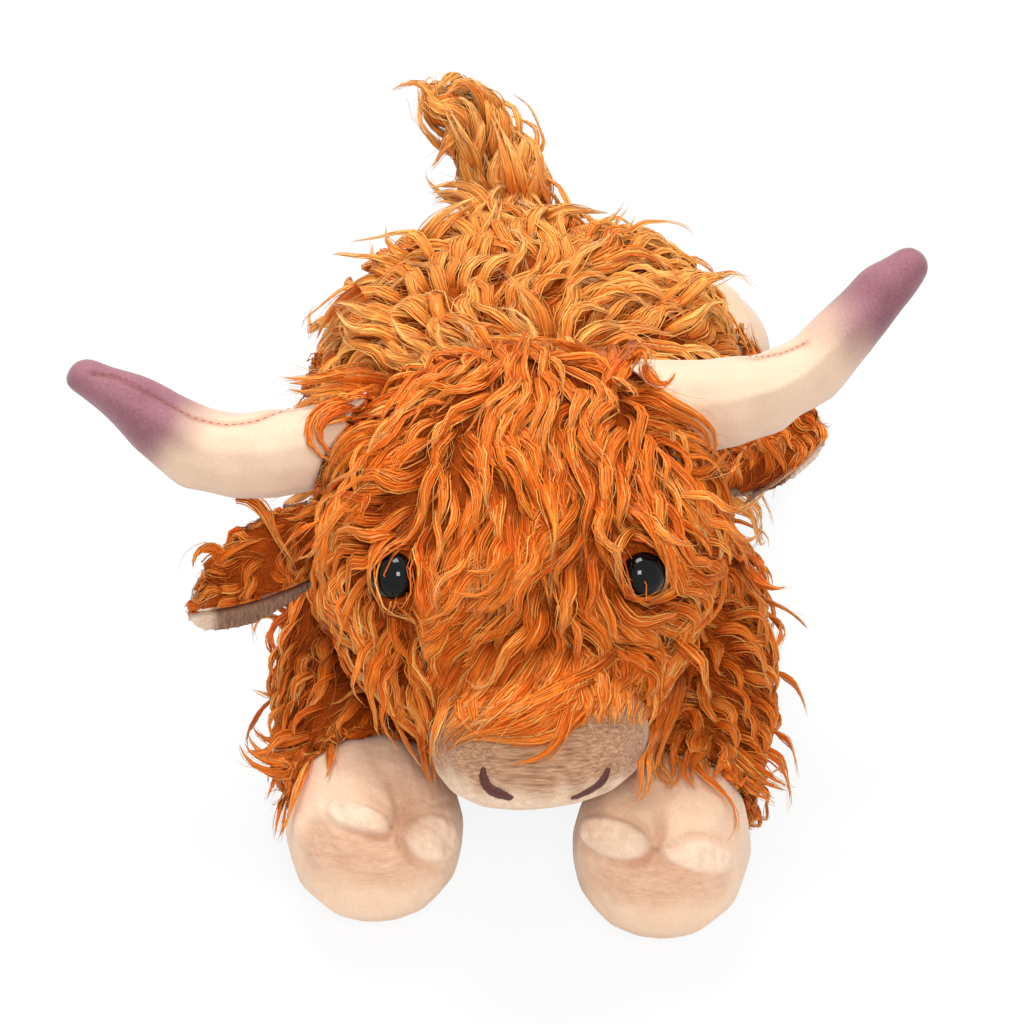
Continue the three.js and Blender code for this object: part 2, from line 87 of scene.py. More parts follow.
# Eyes, placed on the face. An opening is an oval's middle and half sizes, in pixels of the photograph
EYE_RADIUS = 0.009
EYE_DOME = 0.007
EYE_RIM = 0.002
EYE_SPACING = 0.098
EYE_RISE = 0.003
EYE_SKEW = 0.0065
EYE_SINK = 0.007
EYE_SEAT = 0.003
EYE_OPENINGS = {"left": ((641.5, 568.5), (14.5, 22)), "right": ((394.5, 578.5), (14.5, 21))}
EYE_SIDES = {"left": 1, "right": -1}
LID_REACH = 1.9
LID_LIFT = 0.0006
BARE_RADIUS = EYE_RADIUS * 1.1
BARE_DEPTH = 0.02
SHANK_RADIUS = 0.0025
SHANK_LENGTH = 0.0095
DOME_STEPS = 12
DOME_SEGMENTS = 48

# Fur: the steps along a lock, its strands and a hair of the down, and the sides of each tube
LOCK_STEPS = 12
STRAND_STEPS = 8
DOWN_STEPS = 2
STRAND_SIDES = 3
CORE_SIDES = 5
STRAND_RADIUS = 0.00034
DOWN_RADIUS = 0.00027
CORE_FLATNESS = 0.22
CORE_SHARE = 0.85
LAID_WIDTH = 0.0034
# How far up the dye ramp the cores and the down reach, so that they stay dark as a painted shade between
# the strands
CORE_SHADED_REACH = 0.7
DOWN_SHADED_REACH = 0.5
STRAND_BAND = 0.03
STRAND_MAP = "OFBake"
MOST_TRIANGLES = 190_000
FLOOR_ROOM = 0.0008
HAIR_ROOM = 0.0012
HURDLE_REACH = 0.03

# Thread: the sides and steps of a stitch, its radius and how close satin stitches lie
THREAD_SIDES = 5
THREAD_STEPS = 4
THREAD_RADIUS = 0.00034
THREAD_PITCH = 0.00046
HEM_STEPS = 24


# Numbers and places


def unit(vectors):
    return vectors / np.maximum(np.linalg.norm(vectors, axis=-1, keepdims=True), 1e-9)


def dot(a, b):
    return (a * b).sum(-1, keepdims=True)


def smooth_step(low, high, values):
    share = np.clip((values - low) / (high - low), 0, 1)
    return share * share * (3 - 2 * share)


def moved_by(matrix, points):
    """Points, as rows, taken through a matrix."""
    grid = np.array(matrix)
    return points @ grid[:3, :3].T + grid[:3, 3]


def turned_by(matrix, vectors):
    return vectors @ np.array(matrix)[:3, :3].T


def drift(points, size, seed):
    """A smooth random value from about -1 to 1 at each point, with patches of that size."""
    rng = np.random.default_rng(seed)
    total = np.zeros(len(points))
    for _ in range(7):
        direction = unit(rng.normal(size=3)) * rng.uniform(0.6, 1.4) * math.pi / size
        total += np.sin(points @ direction + rng.uniform(0, 2 * math.pi))
    return total / 2.6


def line_gap(spots, places):
    """How far each place lies from a line through spots, and where along it, from 0 to 1."""
    spots = np.array(spots, float)
    gap = np.full(len(places), np.inf)
    share = np.zeros(len(places))
    for index, (start, end) in enumerate(zip(spots, spots[1:])):
        run = end - start
        part = np.clip(((places - start) @ run) / (run @ run), 0, 1)
        away = np.linalg.norm(places - start - part[:, None] * run, axis=1)
        share = np.where(away < gap, (index + part) / (len(spots) - 1), share)
        gap = np.minimum(gap, away)
    return gap, share


def oval(places, middle, half, lean):
    """How far each place lies from an oval's middle, where 1 is its edge."""
    angle = math.radians(lean)
    away = places - np.array(middle)
    across = away[:, 0] * math.cos(angle) + away[:, 1] * math.sin(angle)
    up = away[:, 1] * math.cos(angle) - away[:, 0] * math.sin(angle)
    return np.hypot(across / half[0], up / half[1])


def eased(spots, count):
    """A smooth line of that many points through or close by the spots, evenly along it."""
    spots = np.array(spots, float)
    run = np.append(0, np.cumsum(np.linalg.norm(np.diff(spots, axis=0), axis=1)))
    bend = np.polynomial.polynomial.polyfit(run / run[-1], spots, min(len(spots) - 1, 5))
    return np.polynomial.polynomial.polyval(np.linspace(0, 1, count), bend).T


# The photograph's pixels, as rows of across and down


VIEW_PLACE = VIEW_TARGET + VIEW_DISTANCE * Vector(
    (
        math.sin(VIEW_AZIMUTH) * math.cos(VIEW_ELEVATION),
        -math.cos(VIEW_AZIMUTH) * math.cos(VIEW_ELEVATION),
        math.sin(VIEW_ELEVATION),
    )
)
VIEW_TURN = (VIEW_TARGET - VIEW_PLACE).to_track_quat("-Z", "Y")
VIEW_POINT = np.array(VIEW_PLACE)
VIEW_AXES = np.array(VIEW_TURN.to_matrix())


def sight(across, down):
    """The direction from the camera through a pixel."""
    middle = PHOTO_SIZE / 2
    return (VIEW_TURN @ Vector((across - middle, middle - down, -VIEW_FOCUS))).normalized()


def pixels_of(points):
    """The pixels where points show."""
    x, y, z = ((points - VIEW_POINT) @ VIEW_AXES).T
    return np.stack([PHOTO_SIZE / 2 - VIEW_FOCUS * x / z, PHOTO_SIZE / 2 + VIEW_FOCUS * y / z], 1)


def pixel_size(points):
    """The width of a pixel at each point."""
    return np.linalg.norm(points - VIEW_POINT, axis=1) / VIEW_FOCUS


def shifted(points, across, down):
    """Points moved across the view by so many pixels."""
    size = pixel_size(points)
    return points + (size * across)[:, None] * VIEW_AXES[:, 0] - (size * down)[:, None] * VIEW_AXES[:, 1]


def nearness(points, spots, reach):
    """How much each spot's pixel counts at each point, by how near it is, with 1 for the nearest."""
    gap = ((pixels_of(points)[:, None] - spots[None]) ** 2).sum(-1)
    return np.exp(-(gap - gap.min(1, keepdims=True)) / (2 * reach**2))


def nudged(points, pairs, reach):
    """Points moved across the view, as pairs of pixels to start from and go to say."""
    starts, ends = (np.array(spots, float) for spots in zip(*pairs))
    weight = nearness(points, starts, reach)
    move = (weight / weight.sum(1, keepdims=True)) @ (ends - starts)
    return shifted(points, move[:, 0], move[:, 1])


def laid(tree, spots, count, lift):
    """A smooth line over a surface, seen through pixels, with the surface's normals.

    lift brings each point towards the camera. Past the surface's edge the line keeps the edge's depth.
    """
    rays = [sight(*spot) for spot in eased(spots, count)]
    depths, normals = [], []
    for ray in rays:
        place, normal, _, depth = tree.ray_cast(VIEW_PLACE, ray)
        if place is None:
            start = VIEW_PLACE + ray * (depths[-1] if depths else VIEW_DISTANCE)
            depth = (tree.find_nearest(start)[0] - VIEW_PLACE).dot(ray)
            normal = -ray
        depths.append(depth)
        normals.append(normal)
    for _ in range(3):
        depths[1:-1] = [(a + 2 * b + c) / 4 for a, b, c in zip(depths, depths[1:], depths[2:])]
    depths = np.array(depths) - lift
    return VIEW_POINT + np.array(rays) * depths[:, None], unit(np.array(normals))


# Meshes


def linked(name, data):
    """A new object in the scene."""
    thing = bpy.data.objects.new(name, data)
    bpy.context.scene.collection.objects.link(thing)
    return thing


def piece_of(name, mesh, material, body):
    """A mesh as a smooth piece that rides on a body."""
    mesh.polygons.foreach_set("use_smooth", [True] * len(mesh.polygons))
    mesh.materials.append(material)
    piece = linked(name, mesh)
    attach(piece, body)
    return piece


def steady_mesh(name, bm):
    """A finished bmesh as a mesh with its faces in order. Operators leave their order to chance."""
    bm.verts.index_update()
    count = len(bm.verts)

    def rank(face):
        first, second, third = sorted(vert.index for vert in face.verts)[:3]
        return (first * count + second) * count + third

    bm.faces.sort(key=rank)
    mesh = bpy.data.meshes.new(name)
    bm.to_mesh(mesh)
    bm.free()
    corners = np.empty(len(mesh.loops), np.int32)
    mesh.loops.foreach_get("vertex_index", corners)
    for face in mesh.polygons:
        run = slice(face.loop_start, face.loop_start + face.loop_total)
        corners[run] = np.roll(corners[run], -int(corners[run].argmin()))
    mesh.loops.foreach_set("vertex_index", corners)
    mesh.update(calc_edges=True)
    return mesh


def placed(name, bm, material, body):
    """A finished bmesh as a piece."""
    return piece_of(name, steady_mesh(name, bm), material, body)


# How fine the even copies of CAD solids are, as a voxel's size and the number of smoothing steps
SKIN_GRAIN = (0.003, 12)
FILLING_GRAIN = (0.006, 4)
HORN_GRAIN = (0.0013, 24)
FRONT_HOOF_GRAIN = (0.0011, 44)
HIND_HOOF_GRAIN = (0.0018, 60)
EAR_GRAIN = (0.0009, 20)
MUZZLE_GRAIN = (0.0012, 16)


def copy_of(node, name, grain, material, body):
    """A fine, even copy of a CAD node's solid, which it replaces."""
    voxel, smoothing = grain
    bm = bmesh.new()
    bm.from_mesh(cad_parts[node].data)
    bmesh.ops.remove_doubles(bm, verts=bm.verts, dist=0.00001)
    piece = placed(name, bm, material, body)
    even = piece.modifiers.new("Even", "REMESH")
    even.mode = "VOXEL"
    even.voxel_size = voxel
    soft = piece.modifiers.new("Soft", "SMOOTH")
    soft.factor = 0.6
    soft.iterations = smoothing
    bpy.context.view_layer.update()
    graph = bpy.context.evaluated_depsgraph_get()
    mesh = bpy.data.meshes.new_from_object(piece.evaluated_get(graph))
    piece.modifiers.clear()
    piece.data = mesh
    mesh.polygons.foreach_set("use_smooth", [True] * len(mesh.polygons))
    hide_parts(node)
    return piece


def points_of(piece):
    flat = np.empty(len(piece.data.vertices) * 3)
    piece.data.vertices.foreach_get("co", flat)
    return flat.reshape(-1, 3)


def normals_of(piece):
    flat = np.empty(len(piece.data.vertices) * 3, np.float32)
    piece.data.vertex_normals.foreach_get("vector", flat)
    return flat.reshape(-1, 3).astype(float)


def facing(piece, way):
    """How far each point of a piece faces a way, from 0 to 1."""
    return smooth_step(0.05, 0.4, normals_of(piece) @ way)


def reshape(piece, points):
    piece.data.vertices.foreach_set("co", points.astype(np.float32).ravel())
    piece.data.update()


def swell(piece, amount):
    """Moves each point of a piece along its normal."""
    reshape(piece, points_of(piece) + normals_of(piece) * np.reshape(amount, (-1, 1)))


def paint(piece, name, values):
    """Keeps a value for each point of a piece, for its material to read."""
    layer = piece.data.attributes.new(name, "FLOAT", "POINT")
    layer.data.foreach_set("value", values.astype(np.float32))


def tree_of(*pieces):
    """A tree that finds the nearest point of some pieces."""
    bm = bmesh.new()
    for piece in pieces:
        bm.from_mesh(piece.data)
    tree = BVHTree.FromBMesh(bm)
    bm.free()
    return tree


def nearest(tree, points):
    """The nearest place of a surface to each point, and the surface's normals there."""
    found = [tree.find_nearest(Vector(point)) for point in points]
    return np.array([hit[0] for hit in found]), np.array([hit[1] for hit in found])


def apart_from(tree, points):
    """How far points lie outside a closed surface, less than 0 inside it."""
    places, normals = nearest(tree, points)
    return dot(points - places, normals)[:, 0]


def stuffed(half, fullness, shape):
    """A ball drawn out to half sizes. shape moves each point, given in shares of them."""
    bm = bmesh.new()
    bmesh.ops.create_uvsphere(bm, u_segments=96, v_segments=64, radius=1)
    for vert in bm.verts:
        spread = sum(abs(part) ** fullness for part in vert.co)
        share = shape(vert.co * spread ** (-1 / fullness))
        vert.co = Vector((share.x * half.x, share.y * half.y, share.z * half.z))
    return bm


def body_shape(share):
    taper = 1 - RUMP_TAPER * max(share.y, 0) ** 2
    return Vector((share.x * taper, share.y, share.z * taper if share.z > 0 else share.z))


def head_taper(share):
    return 1 + JAW_TAPER * share if share < 0 else 1 - CROWN_TAPER * share * share


def head_shape(share):
    taper = head_taper(share.y)
    forward = JAW_FORWARD / HEAD_HALF.z * share.y**2 if share.y < 0 else 0
    reach = CHIN_SHARE * share.y if share.y < 0 else share.y
    return Vector((share.x * taper, reach, share.z * taper + forward))


def face_depth(x, y):
    """How far the head stands forward over a point of its own plane."""
    share = y / (HEAD_HALF.y * (CHIN_SHARE if y < 0 else 1))
    taper = head_taper(share)
    spread = abs(share) ** HEAD_FULLNESS + abs(x / (taper * HEAD_HALF.x)) ** HEAD_FULLNESS
    forward = JAW_FORWARD * share * share if share < 0 else 0
    return HEAD_HALF.z * taper * (1 - spread) ** (1 / HEAD_FULLNESS) + forward


def on_face(side):
    """The matrix that stands a piece made along Z on the face, where an eye goes."""
    x = side * EYE_SPACING / 2
    y = EYE_RISE - side * EYE_SKEW
    step = EYE_RADIUS
    slope_x = (face_depth(x + step, y) - face_depth(x - step, y)) / (2 * step)
    slope_y = (face_depth(x, y + step) - face_depth(x, y - step)) / (2 * step)
    outward = Vector((-slope_x, -slope_y, 1)).normalized()
    place = Vector((x, y, face_depth(x, y))) - outward * EYE_SINK
    return HEAD @ Matrix.Translation(place) @ outward.to_track_quat("Z", "Y").to_matrix().to_4x4()


EYE_PLACES = {label: on_face(side) for label, side in EYE_SIDES.items()}


# Materials


def colour(red, green, blue):
    """A colour as it shows, from 0 to 255, made linear."""
    parts = (value / 255 for value in (red, green, blue))
    return tuple(v / 12.92 if v <= 0.04045 else ((v + 0.055) / 1.055) ** 2.4 for v in parts) + (1,)


def add(tree, kind, **values):
    """A node with its settings, and its inputs, given by name or as links to other nodes' outputs."""
    node = tree.nodes.new(kind)
    for name, value in values.items():
        if hasattr(node, name) and name not in node.inputs:
            setattr(node, name, value)
            continue
        socket = node.inputs[name]
        if isinstance(value, bpy.types.NodeSocket):
            tree.links.new(value, socket)
        else:
            socket.default_value = value
    return node


def ramp(tree, value, *stops):
    """A colour ramp node, from stops of a place and a colour."""
    node = add(tree, "ShaderNodeValToRGB", Fac=value)
    band = node.color_ramp
    while len(band.elements) < len(stops):
        band.elements.new(0.5)
    for element, (place, shade) in zip(band.elements, stops):
        element.position = place
        element.color = colour(*shade)
    return node.outputs["Color"]


def multiplied(tree, first, second):
    """Two colours, one laid over the other as a filter."""
    blend = add(
        tree, "ShaderNodeMix", data_type="RGBA", blend_type="MULTIPLY", Factor=1, A=first, B=second
    )
    return blend.outputs["Result"]


def spread_over(tree, value, low, high):
    """A value between two ends, as a share of the way from one to the other."""
    ends = {"From Min": low, "From Max": high}
    return add(tree, "ShaderNodeMapRange", Value=value, **ends).outputs["Result"]


def mixed_over(tree, value, span, first, second):
    """The first colour below a span of the value, the second above it."""
    share = spread_over(tree, value, *span)
    return add(tree, "ShaderNodeMix", data_type="RGBA", Factor=share, A=first, B=second).outputs["Result"]


def painted(tree, name):
    """A value that is painted on a piece."""
    return add(tree, "ShaderNodeAttribute", attribute_name=name).outputs["Fac"]


def surfaced(tree, shader, shade, height, strength, distance=0.0004):
    """Gives a shader its colour, and bumps as high as a value says."""
    tree.links.new(shade, shader.inputs["Base Color"])
    bump = add(tree, "ShaderNodeBump", Height=height, Strength=strength, Distance=distance)
    tree.links.new(bump.outputs["Normal"], shader.inputs["Normal"])


def finish(name, **shader):
    """A material whose shader has these values on its own sockets."""
    material = bpy.data.materials.new(name)
    material.use_nodes = True
    principled = material.node_tree.nodes["Principled BSDF"]
    for socket, value in shader.items():
        principled.inputs[socket.replace("_", " ")].default_value = value
    return material, material.node_tree, principled


# The fur's dyes, russet, orange and straw, from the root of a hair to its tip, each darker at the root as a
# painted shade of the fur's depth
DYE_LOTS = (
    ((0.0, (116, 30, 5)), (0.3, (206, 76, 13)), (0.75, (240, 108, 27)), (1.0, (255, 152, 66))),
    ((0.0, (182, 66, 8)), (0.25, (240, 124, 33)), (0.7, (252, 162, 68)), (1.0, (255, 208, 132))),
    ((0.0, (246, 146, 56)), (0.25, (255, 196, 104)), (0.7, (255, 216, 146)), (1.0, (255, 240, 204))),
)


def fur_strand():
    """Dyed fibre with fine streaks, dark at its root as a painted shade of the fur's depth, from russet to
    straw by its dye lot.
    """
    material, tree, shader = finish(
        "fur_strand",
        Roughness=0.4,
        Specular_IOR_Level=0.7,
        Specular_Tint=colour(255, 192, 122),
        Sheen_Weight=0.6,
        Sheen_Roughness=0.5,
        Sheen_Tint=colour(255, 142, 50),
    )
    place = add(tree, "ShaderNodeUVMap", uv_map=STRAND_MAP).outputs["UV"]
    split = add(tree, "ShaderNodeSeparateXYZ", Vector=place)
    russet, orange, straw = (ramp(tree, split.outputs["Y"], *stops) for stops in DYE_LOTS)
    dyed = mixed_over(tree, split.outputs["X"], (0.1, 0.55), russet, orange)
    dyed = mixed_over(tree, split.outputs["X"], (0.6, 1.0), dyed, straw)
    drawn = add(tree, "ShaderNodeMapping", Vector=place, Scale=(330, 5, 1))
    streak = add(tree, "ShaderNodeTexNoise", Vector=drawn.outputs["Vector"], Scale=1.0, Detail=2.0)
    shade = ramp(tree, streak.outputs["Fac"], (0.34, (214, 172, 130)), (0.54, (255, 255, 255)))
    surfaced(tree, shader, multiplied(tree, dyed, shade), streak.outputs["Fac"], 0.5, 0.0005)
    return material


def fur_ground():
    """The short down between the locks, dark russet as a painted shade of the gaps between them."""
    material, tree, shader = finish("fur_ground", Roughness=0.9, Specular_IOR_Level=0.1)
    place = add(tree, "ShaderNodeTexCoord").outputs["Object"]
    down = add(tree, "ShaderNodeTexNoise", Vector=place, Scale=900.0, Detail=4.0)
    patch = add(tree, "ShaderNodeTexNoise", Vector=place, Scale=60.0, Detail=2.0)
    mixed = add(
        tree, "ShaderNodeMix", data_type="FLOAT", Factor=0.5, A=down.outputs["Fac"], B=patch.outputs["Fac"]
    )
    shade = ramp(tree, mixed.outputs["Result"], (0.35, (112, 42, 6)), (0.65, (176, 76, 14)))
    surfaced(tree, shader, shade, down.outputs["Fac"], 0.6, 0.001)
    return material


NAP_SPAN = (0.32, 0.68)


def nap_group():
    """Short pile: broad patches where it lies another way and fine fibre ends, as a painted mix of lit and
    shaded tones, and their height.
    """
    group = bpy.data.node_groups.new("short_pile", "ShaderNodeTree")
    sockets = group.interface
    sockets.new_socket(name="Vector", in_out="INPUT", socket_type="NodeSocketVector")
    for name in ("Patch Scale", "Fibre Scale", "Patch Share"):
        sockets.new_socket(name=name, in_out="INPUT", socket_type="NodeSocketFloat")
    for name in ("Lit", "Shaded"):
        sockets.new_socket(name=name, in_out="INPUT", socket_type="NodeSocketColor")
    sockets.new_socket(name="Color", in_out="OUTPUT", socket_type="NodeSocketColor")
    sockets.new_socket(name="Height", in_out="OUTPUT", socket_type="NodeSocketFloat")
    given = group.nodes.new("NodeGroupInput").outputs
    patch = add(group, "ShaderNodeTexNoise", Vector=given["Vector"], Scale=given["Patch Scale"], Detail=3.0)
    fibre = add(group, "ShaderNodeTexNoise", Vector=given["Vector"], Scale=given["Fibre Scale"], Detail=5.0)
    mixed = add(
        group, "ShaderNodeMix", data_type="FLOAT",
        Factor=given["Patch Share"], A=fibre.outputs["Fac"], B=patch.outputs["Fac"],
    )
    shade = mixed_over(group, mixed.outputs["Result"], NAP_SPAN, given["Shaded"], given["Lit"])
    result = group.nodes.new("NodeGroupOutput").inputs
    group.links.new(shade, result["Color"])
    group.links.new(fibre.outputs["Fac"], result["Height"])
    return group


NAP = nap_group()


def short_pile(tree, lit, shaded, patch=45.0, fibre=900.0, share=0.5, stretch=(1, 1, 1)):
    """The short pile's group, over a piece's own coordinates drawn out by stretch."""
    place = add(tree, "ShaderNodeTexCoord").outputs["Object"]
    drawn = add(tree, "ShaderNodeMapping", Vector=place, Scale=stretch)
    nap = add(tree, "ShaderNodeGroup", node_tree=NAP)
    tree.links.new(drawn.outputs["Vector"], nap.inputs["Vector"])
    for name, value in (("Patch Scale", patch), ("Fibre Scale", fibre), ("Patch Share", share)):
        nap.inputs[name].default_value = value
    nap.inputs["Lit"].default_value = colour(*lit)
    nap.inputs["Shaded"].default_value = colour(*shaded)
    return nap


def horn_velour():
    """Cream velour, dyed mauve towards the tip, with a painted shade in the crease of its seam."""
    material, tree, shader = finish("horn_velour", Roughness=0.8, Sheen_Weight=0.25, Sheen_Roughness=0.5)
    cream = short_pile(tree, (230, 200, 173), (216, 183, 154), fibre=1100.0)
    mauve = short_pile(tree, (158, 106, 116), (124, 72, 84), fibre=1100.0)
    dyed = mixed_over(tree, painted(tree, "dye"), (0, 1), cream.outputs["Color"], mauve.outputs["Color"])
    shade = ramp(tree, painted(tree, "seam"), (0.0, (255, 255, 255)), (1.0, (226, 196, 184)))
    surfaced(tree, shader, multiplied(tree, dyed, shade), cream.outputs["Height"], 0.25)
    return material


def hoof_plush():
    """Cream plush, pinker on the sole, with a painted pink-brown shade in its folds, and paler on the pads,
    where the crushed nap is partly a painted sheen.
    """
    material, tree, shader = finish("hoof_plush", Roughness=0.85, Sheen_Weight=0.25, Sheen_Roughness=0.5)
    upper = short_pile(tree, (242, 208, 178), (228, 188, 154), patch=30.0)
    sole = short_pile(tree, (232, 190, 158), (206, 154, 122), patch=240.0, stretch=(0.4, 1, 2))
    pad = short_pile(tree, (250, 224, 198), (234, 198, 168), patch=300.0)
    fold = short_pile(tree, (206, 154, 122), (176, 118, 88), patch=200.0)
    dyed = upper.outputs["Color"]
    for name, nap in (("sole", sole), ("pad", pad), ("fold", fold)):
        dyed = mixed_over(tree, painted(tree, name), (0, 1), dyed, nap.outputs["Color"])
    surfaced(tree, shader, dyed, sole.outputs["Height"], 0.5)
    return material


def muzzle_velour():
    """Tan velour with its nap brushed sideways, paler where it is brushed down."""
    material, tree, shader = finish("muzzle_velour", Roughness=0.8, Sheen_Weight=0.2, Sheen_Roughness=0.5)
    sideways = (0.12, 1, 1)
    nap = short_pile(tree, (212, 164, 126), (128, 82, 52), 1000.0, 1600.0, share=0.6, stretch=sideways)
    pale = short_pile(tree, (240, 212, 184), (206, 168, 132), patch=300.0, fibre=1100.0)
    brushed = painted(tree, "brushed")
    dyed = mixed_over(tree, brushed, (0, 1), nap.outputs["Color"], pale.outputs["Color"])
    surfaced(tree, shader, dyed, nap.outputs["Height"], 0.5)
    return material


def ear_velour():
    """Taupe velour with fine ribs, pale at its tip where it is turned over, partly painted light, and with
    a painted shadow in fur-shade brown under the hem.
    """
    material, tree, shader = finish("ear_velour", Roughness=0.85, Sheen_Weight=0.25, Sheen_Roughness=0.5)
    nap = short_pile(tree, (168, 130, 104), (98, 66, 48), patch=260.0, stretch=(3, 1, 1))
    pale = short_pile(tree, (244, 224, 200), (214, 184, 156), patch=200.0)
    deep = short_pile(tree, (122, 52, 16), (72, 28, 8), patch=260.0, stretch=(3, 1, 1))
    dyed = nap.outputs["Color"]
    for name, other in (("turned", pale), ("hem_shadow", deep)):
        dyed = mixed_over(tree, painted(tree, name), (0, 1), dyed, other.outputs["Color"])
    surfaced(tree, shader, dyed, nap.outputs["Height"], 0.5)
    return material


def nostril_thread():
    """Dark brown embroidery thread, and the dusky thread of the seams at the end of its map."""
    material, tree, shader = finish("nostril_thread", Roughness=0.5)
    nap = short_pile(tree, (112, 52, 46), (64, 24, 22), patch=500.0, fibre=2500.0)
    place = add(tree, "ShaderNodeUVMap", uv_map=STRAND_MAP).outputs["UV"]
    split = add(tree, "ShaderNodeSeparateXYZ", Vector=place).outputs["X"]
    dusky = ramp(tree, split, (0.0, (156, 112, 104)), (1.0, (150, 104, 96)))
    dyed = mixed_over(tree, split, (0.6, 0.7), nap.outputs["Color"], dusky)
    surfaced(tree, shader, dyed, nap.outputs["Height"], 0.4, 0.0002)
    return material


def eye_gloss():
    """Black moulded plastic with a clear dome over it."""
    material, tree, shader = finish("eye_gloss", Roughness=0.02, IOR=1.3)
    place = add(tree, "ShaderNodeTexCoord").outputs["Object"]
    cloud = add(tree, "ShaderNodeTexNoise", Vector=place, Scale=120.0, Detail=1.0)
    shade = ramp(tree, cloud.outputs["Fac"], (0.4, (2, 2, 3)), (0.6, (8, 7, 7)))
    tree.links.new(shade, shader.inputs["Base Color"])
    return material


def washer_plastic():
    """Milky plastic with faint flow marks."""
    material, tree, shader = finish("washer_plastic", Roughness=0.4)
    nap = short_pile(tree, (236, 236, 232), (216, 216, 212), patch=80.0, fibre=400.0)
    surfaced(tree, shader, nap.outputs["Color"], nap.outputs["Height"], 0.1)
    return material


def stuffing():
    """White crimped polyester fibre."""
    material, tree, shader = finish("stuffing", Roughness=0.95)
    nap = short_pile(tree, (250, 250, 248), (222, 222, 220), patch=90.0, fibre=1400.0)
    surfaced(tree, shader, nap.outputs["Color"], nap.outputs["Height"], 0.8, 0.002)
    return material


FUR_STRAND = fur_strand()
FUR_GROUND = fur_ground()
HORN_VELOUR = horn_velour()
HOOF_PLUSH = hoof_plush()
MUZZLE_VELOUR = muzzle_velour()
EAR_VELOUR = ear_velour()
NOSTRIL_THREAD = nostril_thread()
EYE_GLOSS = eye_gloss()
WASHER_PLASTIC = washer_plastic()
STUFFING = stuffing()


# Fur


def tube_form(sides, steps):
    """One closed tube along Z from 0 to 1, as a mesh, that the fur repeats."""
    bm = bmesh.new()
    bmesh.ops.create_circle(bm, cap_ends=True, segments=sides, radius=1)
    for step in range(steps):
        top = max(bm.faces, key=lambda face: face.calc_center_median().z)
        grown = bmesh.ops.extrude_face_region(bm, geom=[top])["geom"]
        if step:
            bmesh.ops.delete(bm, geom=[top], context="FACES_ONLY")
        fresh = [part for part in grown if isinstance(part, bmesh.types.BMVert)]
        bmesh.ops.translate(bm, verts=fresh, vec=(0, 0, 1 / steps))
    bmesh.ops.recalc_face_normals(bm, faces=bm.faces)
    return steady_mesh("tube_form", bm)


class Tube:
    """A tube's rings, the way each point looks out, its faces, and where its corners lie on the map."""

    def __init__(self, sides, steps):
        mesh = tube_form(sides, steps)
        points = np.array([vert.co for vert in mesh.vertices])
        self.rings = np.rint(points[:, 2] * steps).astype(int)
        self.outward = points[:, :2]
        corners, starts, around = [], [], []
        for face in mesh.polygons:
            starts.append(len(corners))
            corners.extend(face.vertices)
            angles = np.arctan2(points[face.vertices, 1], points[face.vertices, 0]) % (2 * math.pi)
            if len(face.vertices) == 4 and np.ptp(angles) > math.pi + 0.01:
                angles[angles < 0.01] += 2 * math.pi
            around.extend(angles / (2 * math.pi))
        self.corners = np.array(corners)
        self.starts = np.array(starts)
        self.around = np.array(around)
        self.shares = self.rings[self.corners] / steps
        self.triangles = 2 * sides * steps + 2 * (sides - 2)
        bpy.data.meshes.remove(mesh)

    def repeated(self, paths, radii, tints, up, flatness=1.0, shown=1.0):
        """The points, corners, starts and map places of one tube along each path."""
        rings = self.rings
        ahead = unit(np.gradient(paths, axis=1))
        side = unit(np.cross(ahead, up))
        over = np.cross(side, ahead) * flatness
        points = (
            paths[:, rings]
            + side[:, rings] * (radii[:, rings] * self.outward[:, 0])[..., None]
            + over[:, rings] * (radii[:, rings] * self.outward[:, 1])[..., None]
        )
        shift = np.arange(len(paths))[:, None]
        dye = tints[:, None] * (1 - STRAND_BAND) + self.around * STRAND_BAND
        # Below 1, shown keeps a tube low on the dye ramp, a painted shade for cores and down
        share = np.broadcast_to(self.shares * shown, dye.shape)
        return (
            points.reshape(-1, 3),
            (self.corners + shift * len(rings)).ravel(),
            (self.starts + shift * len(self.corners)).ravel(),
            np.stack([dye, share], -1).reshape(-1, 2),
        )


STRAND = Tube(STRAND_SIDES, STRAND_STEPS)
CORE = Tube(CORE_SIDES, STRAND_STEPS)
DOWN = Tube(STRAND_SIDES, DOWN_STEPS)


def tube_piece(name, parts, material, body):
    """One piece, joined from sets of repeated tubes."""
    points, corners, starts, places = [], [], [], []
    for part in parts:
        starts.append(part[2] + sum(map(len, corners)))
        corners.append(part[1] + sum(map(len, points)))
        points.append(part[0])
        places.append(part[3])
    points, corners, starts, places = map(np.concatenate, (points, corners, starts, places))
    mesh = bpy.data.meshes.new(name)
    mesh.vertices.add(len(points))
    mesh.vertices.foreach_set("co", points.astype(np.float32).ravel())
    mesh.loops.add(len(corners))
    mesh.loops.foreach_set("vertex_index", corners.astype(np.int32))
    mesh.polygons.add(len(starts))
    mesh.polygons.foreach_set("loop_start", starts.astype(np.int32))
    mesh.update(calc_edges=True)
    mesh.uv_layers.new(name=STRAND_MAP).uv.foreach_set("vector", places.astype(np.float32).ravel())
    return piece_of(name, mesh, material, body)


